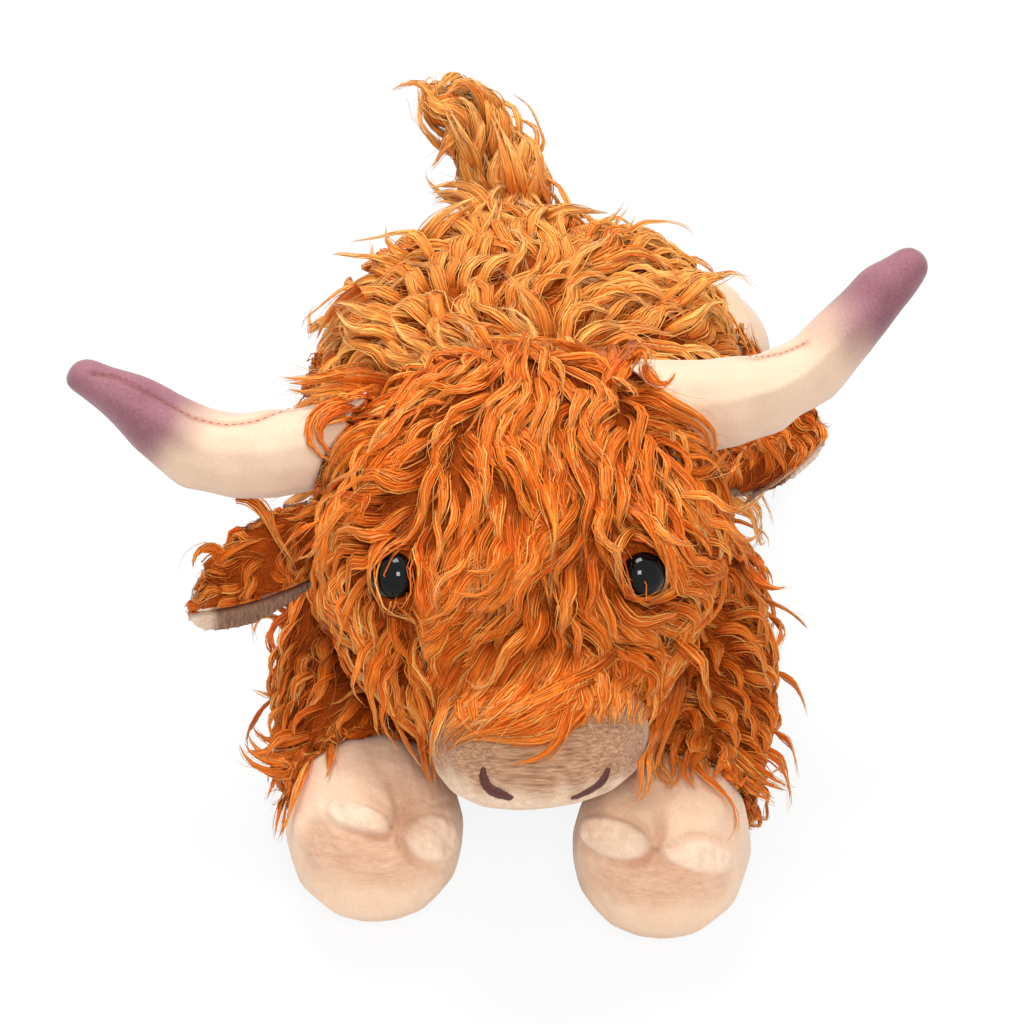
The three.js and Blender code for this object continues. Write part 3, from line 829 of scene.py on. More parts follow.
class Skin:
    """A skin that hair grows on: its triangles and a tree to find its nearest point."""

    def __init__(self, piece):
        mesh = piece.data
        mesh.calc_loop_triangles()
        corners = np.empty(len(mesh.loop_triangles) * 3, int)
        mesh.loop_triangles.foreach_get("vertices", corners)
        self.corners = points_of(piece)[corners].reshape(-1, 3, 3)
        crossed = np.cross(self.corners[:, 1] - self.corners[:, 0], self.corners[:, 2] - self.corners[:, 0])
        self.normals = unit(crossed)
        self.areas = np.linalg.norm(crossed, axis=1) / 2
        self.tree = tree_of(piece)

    def sprinkled(self, spacing, density, rng, more=1):
        """Random points, one to each square of a spacing, where density allows."""
        count = int(more * self.areas.sum() / spacing**2)
        picked = rng.choice(len(self.areas), size=count, p=self.areas / self.areas.sum())
        shares = rng.dirichlet((1, 1, 1), size=count)
        points = (self.corners[picked] * shares[..., None]).sum(1)
        weight = density(points, self.normals[picked])
        return points[weight > 0], weight[weight > 0]

    def roots(self, spacing, density, rng):
        """Even roots about a spacing apart, closer where density is over 1."""
        points, weight = self.sprinkled(spacing, density, rng, 30)
        chosen = []
        apart = np.full(len(points), np.inf)
        while len(points) and (not chosen or apart.max() > spacing**2):
            chosen.append(int(apart.argmax()))
            gap = ((points - points[chosen[-1]]) ** 2).sum(1) * weight**2
            apart = np.minimum(apart, gap)
        return points[chosen]

    def settle(self, points, low, high):
        """Points brought between two heights over the skin, and the skin's normals there."""
        places, normals = nearest(self.tree, points)
        away = points - places
        height = dot(away, normals)
        flat = away - normals * height
        held = np.clip(height, np.reshape(low, (-1, 1)), np.reshape(high, (-1, 1)))
        return places + flat * 0.7 + normals * held, normals


def along_skin(vectors, normals):
    return unit(vectors - normals * dot(vectors, normals))


def grow(skin, roots, flow, lengths, coat, rng):
    """The middle line of each lock, with the skin's normals along it."""
    count = len(roots)
    place, normal = skin.settle(roots, 0, 0)
    heading = along_skin(flow(place), normal)
    phase = 4 * drift(place, coat.clump, 15) + rng.normal(0, coat.loose, count)
    period = coat.wave * (1 + 0.25 * drift(place, coat.clump, 16)) * rng.uniform(0.85, 1.2, count)
    sway = coat.sway * rng.uniform(0.5, 1.3, count)
    hook = coat.hook * (drift(place, coat.clump, 17) + 0.8 * rng.normal(size=count))
    layer = rng.uniform(0.3, 1, count)
    proud = np.where(rng.random(count) < coat.proud, 1.0 + rng.random(count), 0.0)
    paths, normals = [place], [normal]
    for step in range(1, LOCK_STEPS + 1):
        share = step / LOCK_STEPS
        pull = along_skin(flow(place), normal)
        heading = unit(heading * (1 - coat.follow) + pull * coat.follow)
        side = np.cross(normal, heading)
        bend = hook * max(share - 0.4, 0) * 6 / LOCK_STEPS
        heading = along_skin(heading + side * bend[:, None], normal)
        angle = 2 * math.pi * share * lengths / period + phase
        turn = sway * min(1, 0.3 + 2 * share) * np.cos(angle)
        rise = coat.lift * (1 - share / 0.4) * 0.9 + 0.5 * sway * np.sin(angle) + 0.8 * proud
        move = unit(heading + side * turn[:, None] + normal * rise[:, None])
        place = place + move * (lengths / LOCK_STEPS)[:, None]
        top = coat.pile * (layer * min(1, 0.25 + 3 * share) + coat.stray * (share**2 + proud * share))
        place, normal = skin.settle(place, 0.2 * top, top)
        paths.append(place)
        normals.append(normal)
    return np.stack(paths, 1), np.stack(normals, 1)


def along(paths, shares):
    """Points along each path at shares of its length."""
    spot = np.clip(shares, 0, 1) * (paths.shape[1] - 1)
    low = np.minimum(spot.astype(int), paths.shape[1] - 2)
    rest = (spot - low)[..., None]
    row = np.arange(len(paths))[:, None]
    return paths[row, low] * (1 - rest) + paths[row, low + 1] * rest


class Locks:
    """The locks of a skin's fur: each is a sheet of strands, drawn to a wisp, over a flat core."""

    def __init__(self, paths, normals, widths, coat, rng):
        locks = len(paths)
        share = np.linspace(0, 1, STRAND_STEPS + 1)[None]
        self.each = coat.strands
        lock = np.repeat(np.arange(locks), self.each)
        count = len(lock)
        width = coat.width * widths[:, None]
        sheet = (0.7 + 0.3 * np.sin(math.pi * np.minimum(share / 0.7, 1))) * (1 - share**2.4) + 0.04
        reach = rng.uniform(0.62, 1.0, count)[:, None]
        line = along(paths[lock], share * reach)
        up = unit(along(normals[lock], share * reach))
        side = unit(np.cross(up, unit(np.gradient(line, axis=1))))
        row = np.tile(np.linspace(-1, 1, self.each), locks) + rng.normal(0, 0.18, count)
        wild = (rng.random(count) < coat.wild)[:, None]
        drawn = np.where(wild, 0.8 + 1.8 * share**2, sheet)
        swing = 2 * math.pi * rng.uniform(0.6, 1.6, count)[:, None] * share
        wiggle = coat.wiggle * np.sin(swing + rng.uniform(0, 2 * math.pi, count)[:, None]) * share
        across = row[:, None] * width[lock] * drawn + wiggle
        crown = np.maximum(1 - row**2, 0)[:, None] * 0.35 * width[lock] * sheet
        over = crown + 0.5 * wiggle + rng.uniform(0, 0.4, count)[:, None] * coat.radius
        self.strands = line + side * across[..., None] + up * over[..., None]
        self.up = up
        taper = (0.7 + 0.3 * np.sin(math.pi * np.minimum(share * 1.4, 1))) * (1 - share**2.6) + 0.12
        thick = np.where(wild, 0.55, 1.0) * rng.uniform(0.7, 1.35, count)[:, None]
        self.radii = coat.radius * taper * thick
        lot = np.clip(rng.normal(coat.lot, 0.12, locks), 0, 1)
        # Stray strands are paler, partly their own colour and partly a painted highlight
        self.tints = np.clip(lot[lock] + rng.normal(0, 0.22, count) + 0.45 * wild[:, 0], 0, 1)
        self.cores = along(paths, np.repeat(share, locks, 0) * 0.9)
        self.core_up = unit(along(normals, np.repeat(share, locks, 0) * 0.9))
        self.core_radii = CORE_SHARE * width * (sheet - 0.02)
        # A core takes a lower lot than its strands, a painted shade between them
        self.core_tints = np.clip(lot - 0.1, 0, 1)

    def ordered(self, order):
        lock = (order[:, None] * self.each + np.arange(self.each)).ravel()
        for name in ("strands", "up", "radii", "tints"):
            setattr(self, name, getattr(self, name)[lock])
        for name in ("cores", "core_up", "core_radii", "core_tints"):
            setattr(self, name, getattr(self, name)[order])

    def changed(self, change):
        """Takes the hair through a change. A core is narrower where the change moves it."""
        self.strands = change(self.strands)
        cores = change(self.cores.copy())
        moved = np.linalg.norm(cores - self.cores, axis=-1)
        self.core_radii = self.core_radii * (1 - 0.85 * smooth_step(0, 0.002, moved))
        self.cores = cores

    def part(self, low, high):
        each = slice(low * self.each, high * self.each)
        return [
            STRAND.repeated(self.strands[each], self.radii[each], self.tints[each], self.up[each]),
            CORE.repeated(
                self.cores[low:high],
                self.core_radii[low:high],
                self.core_tints[low:high],
                self.core_up[low:high],
                CORE_FLATNESS,
                CORE_SHADED_REACH,
            ),
        ]


def down_hair(skin, flow, density, coat, rng):
    """The paths and normals of the short down between the locks."""
    place, _ = skin.sprinkled(coat.down, density, rng)
    lengths = coat.down_length * rng.uniform(0.6, 1.3, len(place))
    lean = rng.normal(0, 0.45, len(place))
    place, normal = skin.settle(place, -0.0005, -0.0005)
    paths, normals = [place], [normal]
    for step in range(1, DOWN_STEPS + 1):
        share = step / DOWN_STEPS
        heading = along_skin(flow(place), normal)
        side = np.cross(normal, heading)
        move = unit(heading + side * lean[:, None] + normal * (0.7 * (1 - share)))
        lean = lean + rng.normal(0, 0.3, len(place))
        place = place + move * (lengths / DOWN_STEPS)[:, None]
        top = coat.pile * rng.uniform(0.15, 0.5, len(place)) * share**0.5
        place, normal = skin.settle(place, 0.0003, top)
        paths.append(place)
        normals.append(normal)
    share = np.linspace(0, 1, DOWN_STEPS + 1)[None]
    radii = DOWN_RADIUS * (1 - 0.75 * share) * rng.uniform(0.8, 1.2, len(place))[:, None]
    # The down takes a lower lot than the locks, a painted shade between them
    tints = np.clip(rng.normal(coat.lot - 0.15, 0.2, len(place)), 0, 1)
    return np.stack(paths, 1), radii, tints, np.stack(normals, 1)


# Solid things that hair goes round


class Hurdle:
    """A closed piece that hair keeps out of, and a little way off."""

    def __init__(self, piece):
        points = points_of(piece)
        self.low = points.min(0) - HAIR_ROOM
        self.high = points.max(0) + HAIR_ROOM
        self.tree = tree_of(piece)

    def __call__(self, strands):
        flat = strands.reshape(-1, 3)
        near = np.nonzero(((flat > self.low) & (flat < self.high)).all(1))[0]
        for index in near:
            place, normal, _, gap = self.tree.find_nearest(Vector(flat[index]))
            side = (Vector(flat[index]) - place).dot(normal)
            if side < HAIR_ROOM and gap < HURDLE_REACH:
                flat[index] = place + normal * HAIR_ROOM
        return flat.reshape(strands.shape)


class Eyelid:
    """The oval opening in the fur for an eye. A hair bends round it on the side that it passes."""

    def __init__(self, matrix, middle, half):
        self.matrix = matrix
        self.inverse = matrix.inverted()
        self.middle = np.array(middle)
        self.half = np.array(half)

    def __call__(self, strands):
        points = strands.reshape(-1, 3)
        away = (pixels_of(points) - self.middle) / self.half
        far = np.hypot(away[:, 0], away[:, 1])
        near = (far < LID_REACH) & (moved_by(self.inverse, points)[:, 2] > -BARE_DEPTH)
        steps = strands.shape[-2]
        closest = np.argmin(far.reshape(-1, steps), axis=1) + np.arange(len(points) // steps) * steps
        side = np.repeat(away[closest] / np.maximum(far[closest], 1e-3)[:, None], steps, axis=0)
        passed = (away * side).sum(axis=1)
        parted = 1 + far * (LID_REACH - 1) / LID_REACH
        push = np.sqrt(np.maximum(passed**2 + parted**2 - far**2, 0)) - passed
        push *= np.where(near, np.where(passed < 0, smooth_step(LID_REACH, 1, far), 1), 0)
        move = side * self.half * push[:, None]
        local = moved_by(self.inverse, shifted(points, move[:, 0], move[:, 1]))
        share = np.hypot(local[:, 0], local[:, 1]) / BARE_RADIUS
        dome = EYE_RIM + EYE_DOME * np.sqrt(np.maximum(1 - share**2, 0)) + LID_LIFT
        local[:, 2] = np.where(near & (share < 1), np.maximum(local[:, 2], dome), local[:, 2])
        return moved_by(self.matrix, local).reshape(strands.shape)


def above_floor(strands):
    strands[..., 2] = np.maximum(strands[..., 2], FLOOR_ROOM)
    return strands


def laid_locks(tree, rows):
    """The middle lines, normals and widths of locks laid one by one over a surface, wide ones as a pair."""
    share = np.linspace(0, 1, LOCK_STEPS + 1)
    paths, normals, widths = [], [], []
    for width, middle, tip, spots in rows:
        lift = (middle + (tip - middle) * share) * smooth_step(-0.25, 0.35, share) / 1000
        path, normal = laid(tree, spots, LOCK_STEPS + 1, lift)
        side = unit(np.cross(normal, unit(np.gradient(path, axis=0))))
        ways = (-1, 1) if width > 1.05 else (0,)
        for way in ways:
            apart = 0.55 * way * width * LAID_WIDTH * (1 - 0.7 * share**2)
            paths.append(path + side * apart[:, None])
            normals.append(normal)
            widths.append(width * LAID_WIDTH * (0.66 if way else 1))
    return np.stack(paths), np.stack(normals), np.array(widths)


def fur(name, body, skin, coat, flow, density, seed, changes=(), by_hand=None, lengths=None):
    """The fur of one skin, in as many pieces as keep within the most triangles.

    Locks laid one by one join the grown ones. lengths is the coat's own where none is given.
    """
    rng = np.random.default_rng(seed)
    roots = skin.roots(coat.spacing, density, rng)
    paths, normals = grow(skin, roots, flow, (lengths or coat.lengths)(roots, rng), coat, rng)
    widths = rng.uniform(0.55, 1.45, len(paths))
    if by_hand is not None:
        paths = np.concatenate([paths, by_hand[0]])
        normals = np.concatenate([normals, by_hand[1]])
        widths = np.concatenate([widths, by_hand[2] / coat.width])
    locks = Locks(paths, normals, widths, coat, rng)
    locks.ordered(np.argsort(paths[:, 0, 0], kind="stable"))
    for change in (*changes, above_floor):
        locks.changed(change)
    down = down_hair(skin, flow, density, coat, rng)
    order = np.argsort(down[0][:, 0, 0], kind="stable")
    down = [part[order] for part in down]
    for change in (*changes, above_floor):
        down[0] = change(down[0])
    total = len(paths) * (coat.strands * STRAND.triangles + CORE.triangles) + len(order) * DOWN.triangles
    pieces = math.ceil(total / MOST_TRIANGLES)
    for index in range(pieces):
        cuts = [n * index // pieces for n in (len(paths), len(order))]
        ends = [n * (index + 1) // pieces for n in (len(paths), len(order))]
        parts = locks.part(cuts[0], ends[0])
        parts.append(DOWN.repeated(*(part[cuts[1] : ends[1]] for part in down), shown=DOWN_SHADED_REACH))
        piece_name = name if pieces == 1 else f"{name}_{index + 1}"
        tube_piece(piece_name, parts, FUR_STRAND, body)


# Coats: how the fur of each part grows


@dataclass(frozen=True)
class Coat:
    """How long, close and curly a stretch of fur is."""

    spacing: float = 0.0085
    length: float = 0.052
    pile: float = 0.013
    lot: float = 0.5
    wave: float = 0.031
    clump: float = 0.034
    loose: float = 0.5
    sway: float = 0.62
    hook: float = 0.8
    follow: float = 0.3
    lift: float = 1.0
    proud: float = 0.12
    stray: float = 0.5
    strands: int = 7
    width: float = 0.0025
    wild: float = 0.17
    wiggle: float = 0.0010
    radius: float = STRAND_RADIUS
    down: float = 0.0034
    down_length: float = 0.014

    def lengths(self, roots, rng):
        return self.length * rng.uniform(0.7, 1.2, len(roots))


def swirled(out, axis, turn):
    """Directions turned within the plane across an axis."""
    across = unit(np.cross(axis, out))
    return unit(out) * np.cos(turn)[:, None] + across * np.sin(turn)[:, None]


def anywhere(points, normals):
    return np.where(points[:, 2] > 0.006, 1.0, 0.0)


# Head: which way the hair runs on the face, at pixels of the photograph, across and down
FACE_COMB = (
    ((300, 385), (-1, 0.1)),
    ((345, 392), (-1, 0.1)),
    ((430, 345), (-0.9, 0.35)),
    ((440, 400), (-0.6, 0.8)),
    ((520, 350), (-0.3, 0.9)),
    ((610, 345), (0.5, 0.8)),
    ((485, 430), (0.3, 1)),
    ((560, 430), (0.1, 1)),
    ((640, 420), (0.6, 0.8)),
    ((690, 430), (0.85, 0.5)),
    ((330, 490), (-0.9, 0.3)),
    ((400, 500), (-0.9, 0.35)),
    ((470, 520), (-0.7, 0.7)),
    ((540, 500), (-0.2, 1)),
    ((600, 500), (0.3, 1)),
    ((660, 480), (0.7, 0.75)),
    ((715, 500), (0.6, 0.9)),
    ((345, 560), (-0.9, 0.4)),
    ((320, 620), (-0.3, 1)),
    ((350, 680), (0.1, 1)),
    ((420, 640), (-0.4, 0.9)),
    ((415, 710), (0.1, 1)),
    ((500, 600), (-0.4, 0.9)),
    ((500, 690), (-0.7, 0.7)),
    ((560, 715), (-0.9, 0.45)),
    ((570, 620), (0.1, 1)),
    ((620, 600), (0.2, 1)),
    ((640, 660), (0.3, 0.95)),
    ((610, 710), (0.2, 1)),
    ((655, 730), (-0.1, 1)),
    ((700, 560), (0.95, 0.25)),
    ((740, 590), (1, 0.15)),
    ((700, 620), (0.7, 0.7)),
    ((700, 700), (0.2, 1)),
)
COMB_REACH = 38
FRINGE_FOOT = -0.056
FRINGE_HALF = 0.041

HEAD_COAT = Coat(spacing=0.0056, pile=0.011, proud=0.07, strands=8)
# The body and tail take paler lots than the head, partly their own paler colour and partly painted light on
# the back and tail
BODY_COAT = Coat(spacing=0.0072, lot=0.95, width=0.0031, wave=0.036)
LEG_COAT = Coat(spacing=0.0086, length=0.036, pile=0.010, width=0.0031)
TAIL_COAT = Coat(
    spacing=0.0062, length=0.046, pile=0.012, lot=1.0, width=0.0034, wave=0.045, sway=0.4, hook=0.5,
    proud=0.1,
)
EAR_COAT = Coat(
    spacing=0.0056, length=0.022, pile=0.004, wave=0.022, sway=0.9, lift=0.4, proud=0.05,
    width=0.0022, down=0.003, down_length=0.010,
)
NECK_COAT = Coat(spacing=0.012, length=0.028, pile=0.006, proud=0, width=0.0034)


def in_head(points):
    return moved_by(HEAD.inverted(), points)


def seen_directions(pairs):
    """Directions in the photograph, right and down, as directions in the room."""
    return pairs[:, :1] * VIEW_AXES[:, 0] - pairs[:, 1:] * VIEW_AXES[:, 1]


def face_flow(points):
    """The comb's directions, mixed by how near each of them is."""
    spots = np.array([spot for spot, _ in FACE_COMB], float)
    ways = unit(np.array([way for _, way in FACE_COMB], float))
    return unit(seen_directions(nearness(points, spots, COMB_REACH) @ ways))


def head_flow(points):
    local = in_head(points)
    x, y, z = local.T
    behind = turned_by(HEAD, np.stack([x * 10, y * 8, z * 2 - 0.8], 1))
    front = smooth_step(-0.012, 0.012, z)[:, None]
    out = face_flow(points) * front + unit(behind) * (1 - front)
    turn = 0.62 * drift(points, 0.026, 3) + 0.3 * drift(points, 0.012, 4)
    return swirled(out, points - np.array(HEAD_PLACE), turn)


def head_density(points, normals):
    x, y, z = in_head(points).T
    hidden = (z < -0.035) & (y > -0.05) & (y < 0.05) & (np.abs(x) < 0.05)
    muzzle = (np.abs(x) < 0.037) & (y < -0.044) & (z > 0)
    for eye_place in EYE_PLACES.values():
        under = moved_by(eye_place.inverted(), points)
        hidden |= (np.hypot(under[:, 0], under[:, 1]) < BARE_RADIUS) & (np.abs(under[:, 2]) < BARE_DEPTH)
    return np.where(hidden | muzzle, 0.0, np.where(z > -0.01, 1.0, 0.8))


def head_lengths(roots, rng):
    """Locks over the muzzle end at the fringe's foot."""
    x, y, z = in_head(roots).T
    length = HEAD_COAT.lengths(roots, rng)
    front = (np.abs(x) < FRINGE_HALF) & (z > 0.0) & (y < 0.01)
    room = np.maximum(y - FRINGE_FOOT + rng.uniform(-0.002, 0.006, len(roots)), 0.010)
    return np.where(front, np.minimum(length, room * 1.15), length)


def body_flow(points):
    """Hair runs back from the neck and down both sides."""
    x, y, z = points.T
    out = np.stack([x * 14, np.full(len(x), 0.45) + y * 2, -np.abs(x) * 9 - 0.1], 1)
    turn = 0.8 * drift(points, 0.030, 5) + 0.4 * drift(points, 0.013, 6)
    to_tail = TAIL_ROOT + np.array((-0.004, 0.0, 0.02)) - points
    close = 1 - smooth_step(0.02, 0.06, np.linalg.norm(to_tail, axis=1))
    out = unit(swirled(out, points - np.array([0, 0, 0.08]), turn))
    return unit(out * (1 - close[:, None]) + unit(to_tail) * close[:, None])


def body_density(points, normals):
    """Hair everywhere but underneath, and under the neck."""
    x, y, z = points.T
    neck = (np.linalg.norm(points - NECK_PLACE, axis=1) < NECK_BARE) & (y < -0.08)
    return np.where((z < 0.012) | neck, 0.0, np.where(z > 0.04, 1.0, 0.8))


TAIL_ROOT = np.array((-0.006, 0.094, 0.108))
TAIL_TIP = np.array((-0.036, 0.124, 0.158))


def tail_flow(points):
    run = unit(TAIL_TIP - TAIL_ROOT)
    away = points - TAIL_ROOT
    away = away - run * dot(away, run)
    turn = 0.7 * drift(points, 0.022, 7)
    return swirled(np.broadcast_to(run, points.shape) + unit(away) * 0.3, points - TAIL_ROOT, turn)


def tail_density(points, normals):
    return np.where((points - TAIL_ROOT) @ unit(TAIL_TIP - TAIL_ROOT) > 0.004, 1.0, 0.0)


def leg_flow(side, way):
    def flow(points):
        out = np.broadcast_to(np.array([0.5 * side, way, -0.5]), points.shape)
        return swirled(out, np.array([0, 0, 1.0]), 0.8 * drift(points, 0.03, 8))

    return flow


def ear_flow(side):
    def flow(points):
        out = turned_by(HEAD, np.broadcast_to(np.array([side, -0.3, 0.0]), points.shape))
        return swirled(out, turned_by(HEAD, np.array([0, 0, 1.0])), 1.2 * drift(points, 0.018, 12))

    return flow


# Locks laid one by one. Each has its width, as a share of LAID_WIDTH, how high it lies at its middle and at
# its tip, in millimetres, and the pixels of the photograph that it runs through

FACE_LOCKS = (
    (
        1.7, 10, 3,
        ((623, 655), (599, 676), (566, 697), (539, 704), (516, 719), (477, 726), (449, 742), (437, 771)),
    ),
    (1.5, 8, 3, ((600, 690), (566, 716), (547, 730), (516, 736), (485, 733), (454, 742), (442, 756))),
    (1.4, 8, 3, ((560, 690), (530, 714), (500, 724), (468, 730), (446, 748), (438, 762))),
    (0.9, 9, 4, ((575, 692), (568, 716), (558, 740), (546, 754), (523, 762), (503, 773))),
    (1.6, 9, 4, ((520, 640), (504, 668), (486, 694), (466, 716), (452, 738))),
    (1.5, 9, 4, ((498, 650), (484, 676), (470, 700), (450, 722), (440, 746))),
    (1.5, 9, 3, ((548, 652), (530, 682), (512, 704), (490, 724), (468, 742))),
    (1.4, 9, 3, ((572, 650), (560, 676), (546, 700), (528, 720), (508, 742))),
    (1.3, 8, 3, ((470, 690), (466, 708), (472, 726), (480, 742))),
    (1.2, 9, 4, ((590, 650), (582, 676), (574, 700), (562, 716), (546, 738))),
    (1.3, 9, 5, ((442, 690), (432, 714), (429, 740), (430, 770), (437, 797))),
    (1.1, 9, 5, ((472, 674), (454, 697), (442, 716), (433, 742), (435, 778))),
    (1.2, 9, 4, ((540, 666), (523, 697), (502, 712), (476, 720), (458, 734))),
    (1.2, 8, 3, ((560, 700), (548, 716), (528, 728), (505, 736), (484, 744))),
    (1.0, 8, 3, ((583, 686), (588, 704), (584, 722), (576, 732))),
    (1.0, 8, 3, ((599, 678), (603, 700), (599, 718), (592, 728))),
    (1.0, 8, 3, ((614, 674), (618, 698), (612, 728))),
    (0.9, 8, 3, ((627, 668), (630, 698), (626, 730))),
    (1.1, 8, 3, ((642, 676), (645, 702), (640, 722), (644, 734))),
    (1.2, 10, 6, ((664, 690), (656, 723), (646, 747), (644, 774), (646, 792), (636, 802), (624, 792))),
    (1.2, 10, 6, ((676, 668), (672, 702), (660, 738), (652, 770), (650, 790))),
    (1.5, 8, 3, ((566, 652), (572, 676), (570, 702), (562, 728))),
    (1.5, 8, 3, ((582, 650), (588, 676), (586, 704), (580, 730))),
    (1.5, 8, 3, ((598, 650), (604, 676), (602, 704), (598, 732))),
    (1.5, 8, 3, ((614, 652), (620, 678), (618, 706), (614, 732))),
    (1.5, 8, 3, ((630, 656), (635, 682), (632, 708), (630, 733))),
    (1.4, 8, 3, ((576, 660), (596, 680), (600, 704), (588, 724))),
    (1.3, 8, 3, ((606, 656), (590, 684), (596, 708), (608, 728))),
    (1.3, 8, 3, ((644, 656), (628, 684), (614, 706), (612, 728))),
    (1.3, 8, 3, ((540, 650), (552, 674), (556, 700), (548, 726))),
    (1.6, 9, 4, ((508, 664), (488, 690), (466, 712), (448, 730), (438, 744))),
    (1.6, 9, 3, ((534, 668), (514, 692), (494, 712), (474, 730), (460, 744))),
    (1.4, 9, 4, ((470, 660), (454, 684), (444, 706), (436, 730), (434, 752))),
    (1.3, 8, 3, ((520, 700), (500, 716), (484, 730), (470, 746))),
    (1.2, 10, 10, ((562, 376), (536, 354), (506, 342), (474, 344))),
    (1.1, 10, 10, ((480, 384), (504, 360), (530, 344), (558, 336))),
    (1.1, 10, 10, ((526, 392), (518, 366), (524, 342), (536, 320))),
    (1.0, 10, 9, ((600, 372), (574, 350), (548, 340), (520, 344))),
    (1.1, 12, 9, ((388, 534), (376, 550), (370, 574), (374, 602))),
    (1.1, 12, 9, ((648, 524), (661, 544), (666, 568), (664, 598))),
    (0.9, 12, 10, ((636, 530), (623, 546), (620, 566), (624, 590))),
    (1.3, 11, 9, ((642, 348), (622, 366), (608, 390), (602, 420))),
    (1.3, 11, 9, ((572, 352), (594, 366), (610, 388), (616, 416))),
    (1.2, 11, 9, ((606, 346), (606, 366), (596, 390), (598, 414))),
    (1.2, 12, 8, ((384, 440), (358, 444), (340, 458), (330, 476), (328, 494))),
    (1.3, 10, 6, ((392, 430), (366, 432), (346, 442), (334, 458), (328, 474))),
    (1.2, 10, 6, ((390, 452), (368, 456), (350, 468), (342, 484), (340, 498))),
    (1.1, 9, 5, ((366, 398), (354, 418), (348, 440), (350, 462), (344, 480))),
    (1.1, 10, 6, ((650, 440), (676, 438), (700, 446), (718, 460), (726, 476))),
    (1.2, 9, 6, ((628, 384), (646, 392), (660, 408), (668, 426), (684, 440))),
    (1.5, 11, 5, ((400, 388), (360, 384), (330, 384), (299, 388), (276, 380))),
    (1.3, 10, 5, ((395, 396), (360, 396), (322, 399), (298, 400))),
    (1.6, 9, 4, ((380, 404), (345, 405), (324, 413), (312, 428), (318, 446), (334, 459), (352, 458))),
    (1.4, 9, 4, ((378, 414), (350, 416), (328, 420), (314, 434))),
    (0.8, 11, 8, ((368, 370), (340, 374), (312, 378), (274, 375))),
    (0.7, 9, 6, ((330, 500), (318, 492), (334, 490), (346, 508), (358, 528))),
    (0.8, 9, 8, ((366, 548), (342, 538), (322, 538), (304, 551), (293, 568))),
    (1.2, 9, 5, ((626, 400), (659, 399), (684, 413), (705, 426), (714, 442), (711, 458), (701, 472))),
    (1.3, 9, 6, ((640, 420), (668, 422), (694, 432), (712, 446))),
    (1.1, 10, 8, ((690, 455), (708, 476), (723, 503), (726, 535), (731, 562))),
    (0.7, 10, 9, ((676, 462), (693, 472), (710, 469), (727, 453), (738, 450))),
    (0.8, 9, 5, ((632, 372), (634, 356), (642, 350), (646, 362), (640, 374))),
    (0.7, 8, 5, ((646, 366), (654, 380), (665, 384), (674, 376), (677, 368))),
    (1.0, 10, 8, ((742, 562), (752, 576), (772, 588), (792, 584))),
)
TORSO_LOCKS = (
    (0.7, 11, 11, ((300, 650), (282, 622), (263, 616), (254, 628), (256, 643))),
    (0.8, 11, 11, ((304, 684), (280, 697), (266, 694), (250, 688))),
    (1.0, 11, 11, ((420, 262), (394, 250), (386, 236), (388, 222))),
    (0.9, 11, 11, ((404, 282), (378, 268), (372, 252), (374, 238))),
    (1.0, 11, 11, ((540, 226), (577, 210), (596, 212), (616, 212))),
    (1.2, 11, 11, ((566, 250), (600, 230), (616, 218), (628, 202))),
    (1.0, 11, 11, ((590, 262), (620, 240), (630, 226), (638, 212))),
    (1.3, 11, 11, ((362, 292), (344, 306), (328, 324), (318, 346))),
    (1.3, 11, 11, ((366, 318), (346, 328), (328, 342), (316, 360))),
    (1.2, 11, 11, ((380, 300), (356, 300), (334, 312), (318, 330))),
    (1.3, 12, 12, ((420, 250), (440, 224), (464, 206), (490, 196))),
    (1.3, 12, 12, ((470, 262), (486, 236), (496, 214), (500, 190))),
    (1.3, 12, 12, ((560, 256), (548, 232), (530, 212), (512, 196))),
)
LEG_LOCKS = {
    "front_right": (
        (1.3, 10, 10, ((312, 760), (286, 768), (262, 764), (246, 752), (240, 735))),
        (0.9, 10, 10, ((306, 750), (282, 758), (261, 752), (250, 740), (247, 726))),
        (0.8, 10, 10, ((310, 736), (286, 742), (268, 740), (256, 732), (251, 720))),
        (1.2, 9, 8, ((310, 752), (298, 768), (288, 796), (280, 824), (276, 847))),
        (1.0, 9, 8, ((318, 754), (304, 774), (294, 800), (285, 826), (278, 845))),
        (0.4, 9, 9, ((290, 756), (276, 774), (270, 791), (264, 806))),
        (0.7, 7, 4, ((334, 738), (331, 752), (330, 766), (324, 782))),
    ),
    "front_left": (
        (0.7, 9, 3, ((690, 742), (700, 772), (718, 788), (733, 806), (737, 822), (724, 841))),
        (1.2, 10, 6, ((664, 728), (656, 748), (658, 768), (670, 782), (664, 794))),
        (1.2, 10, 6, ((682, 726), (672, 748), (678, 768), (670, 786), (660, 790))),
        (1.1, 10, 6, ((690, 728), (698, 750), (688, 770), (694, 786), (704, 788))),
        (1.2, 10, 6, ((708, 732), (698, 752), (706, 772), (700, 784))),
        (1.0, 10, 6, ((714, 738), (724, 760), (714, 778), (720, 792))),
        (0.9, 10, 6, ((730, 744), (726, 764), (736, 780), (728, 800))),
        (1.1, 9, 7, ((732, 750), (752, 768), (772, 782), (796, 790))),
        (1.1, 9, 7, ((722, 762), (742, 782), (760, 792), (778, 806))),
    ),
}
TAIL_LOCKS = (
    (1.0, 12, 12, ((448, 128), (432, 110), (429, 94), (420, 84), (404, 84), (384, 88))),
    (1.6, 12, 12, ((494, 118), (486, 100), (474, 86), (464, 76))),
    (1.3, 12, 12, ((484, 212), (472, 194), (448, 188), (424, 192))),
    (1.0, 12, 12, ((490, 198), (470, 184), (448, 186), (431, 185))),
    (1.2, 12, 12, ((484, 226), (468, 206), (448, 198), (429, 205))),
    (0.8, 12, 12, ((462, 132), (446, 146), (438, 158), (428, 171))),
    (1.5, 12, 12, ((520, 200), (512, 164), (500, 132), (484, 102))),
    (1.3, 12, 12, ((476, 172), (466, 146), (452, 120), (444, 100))),
)
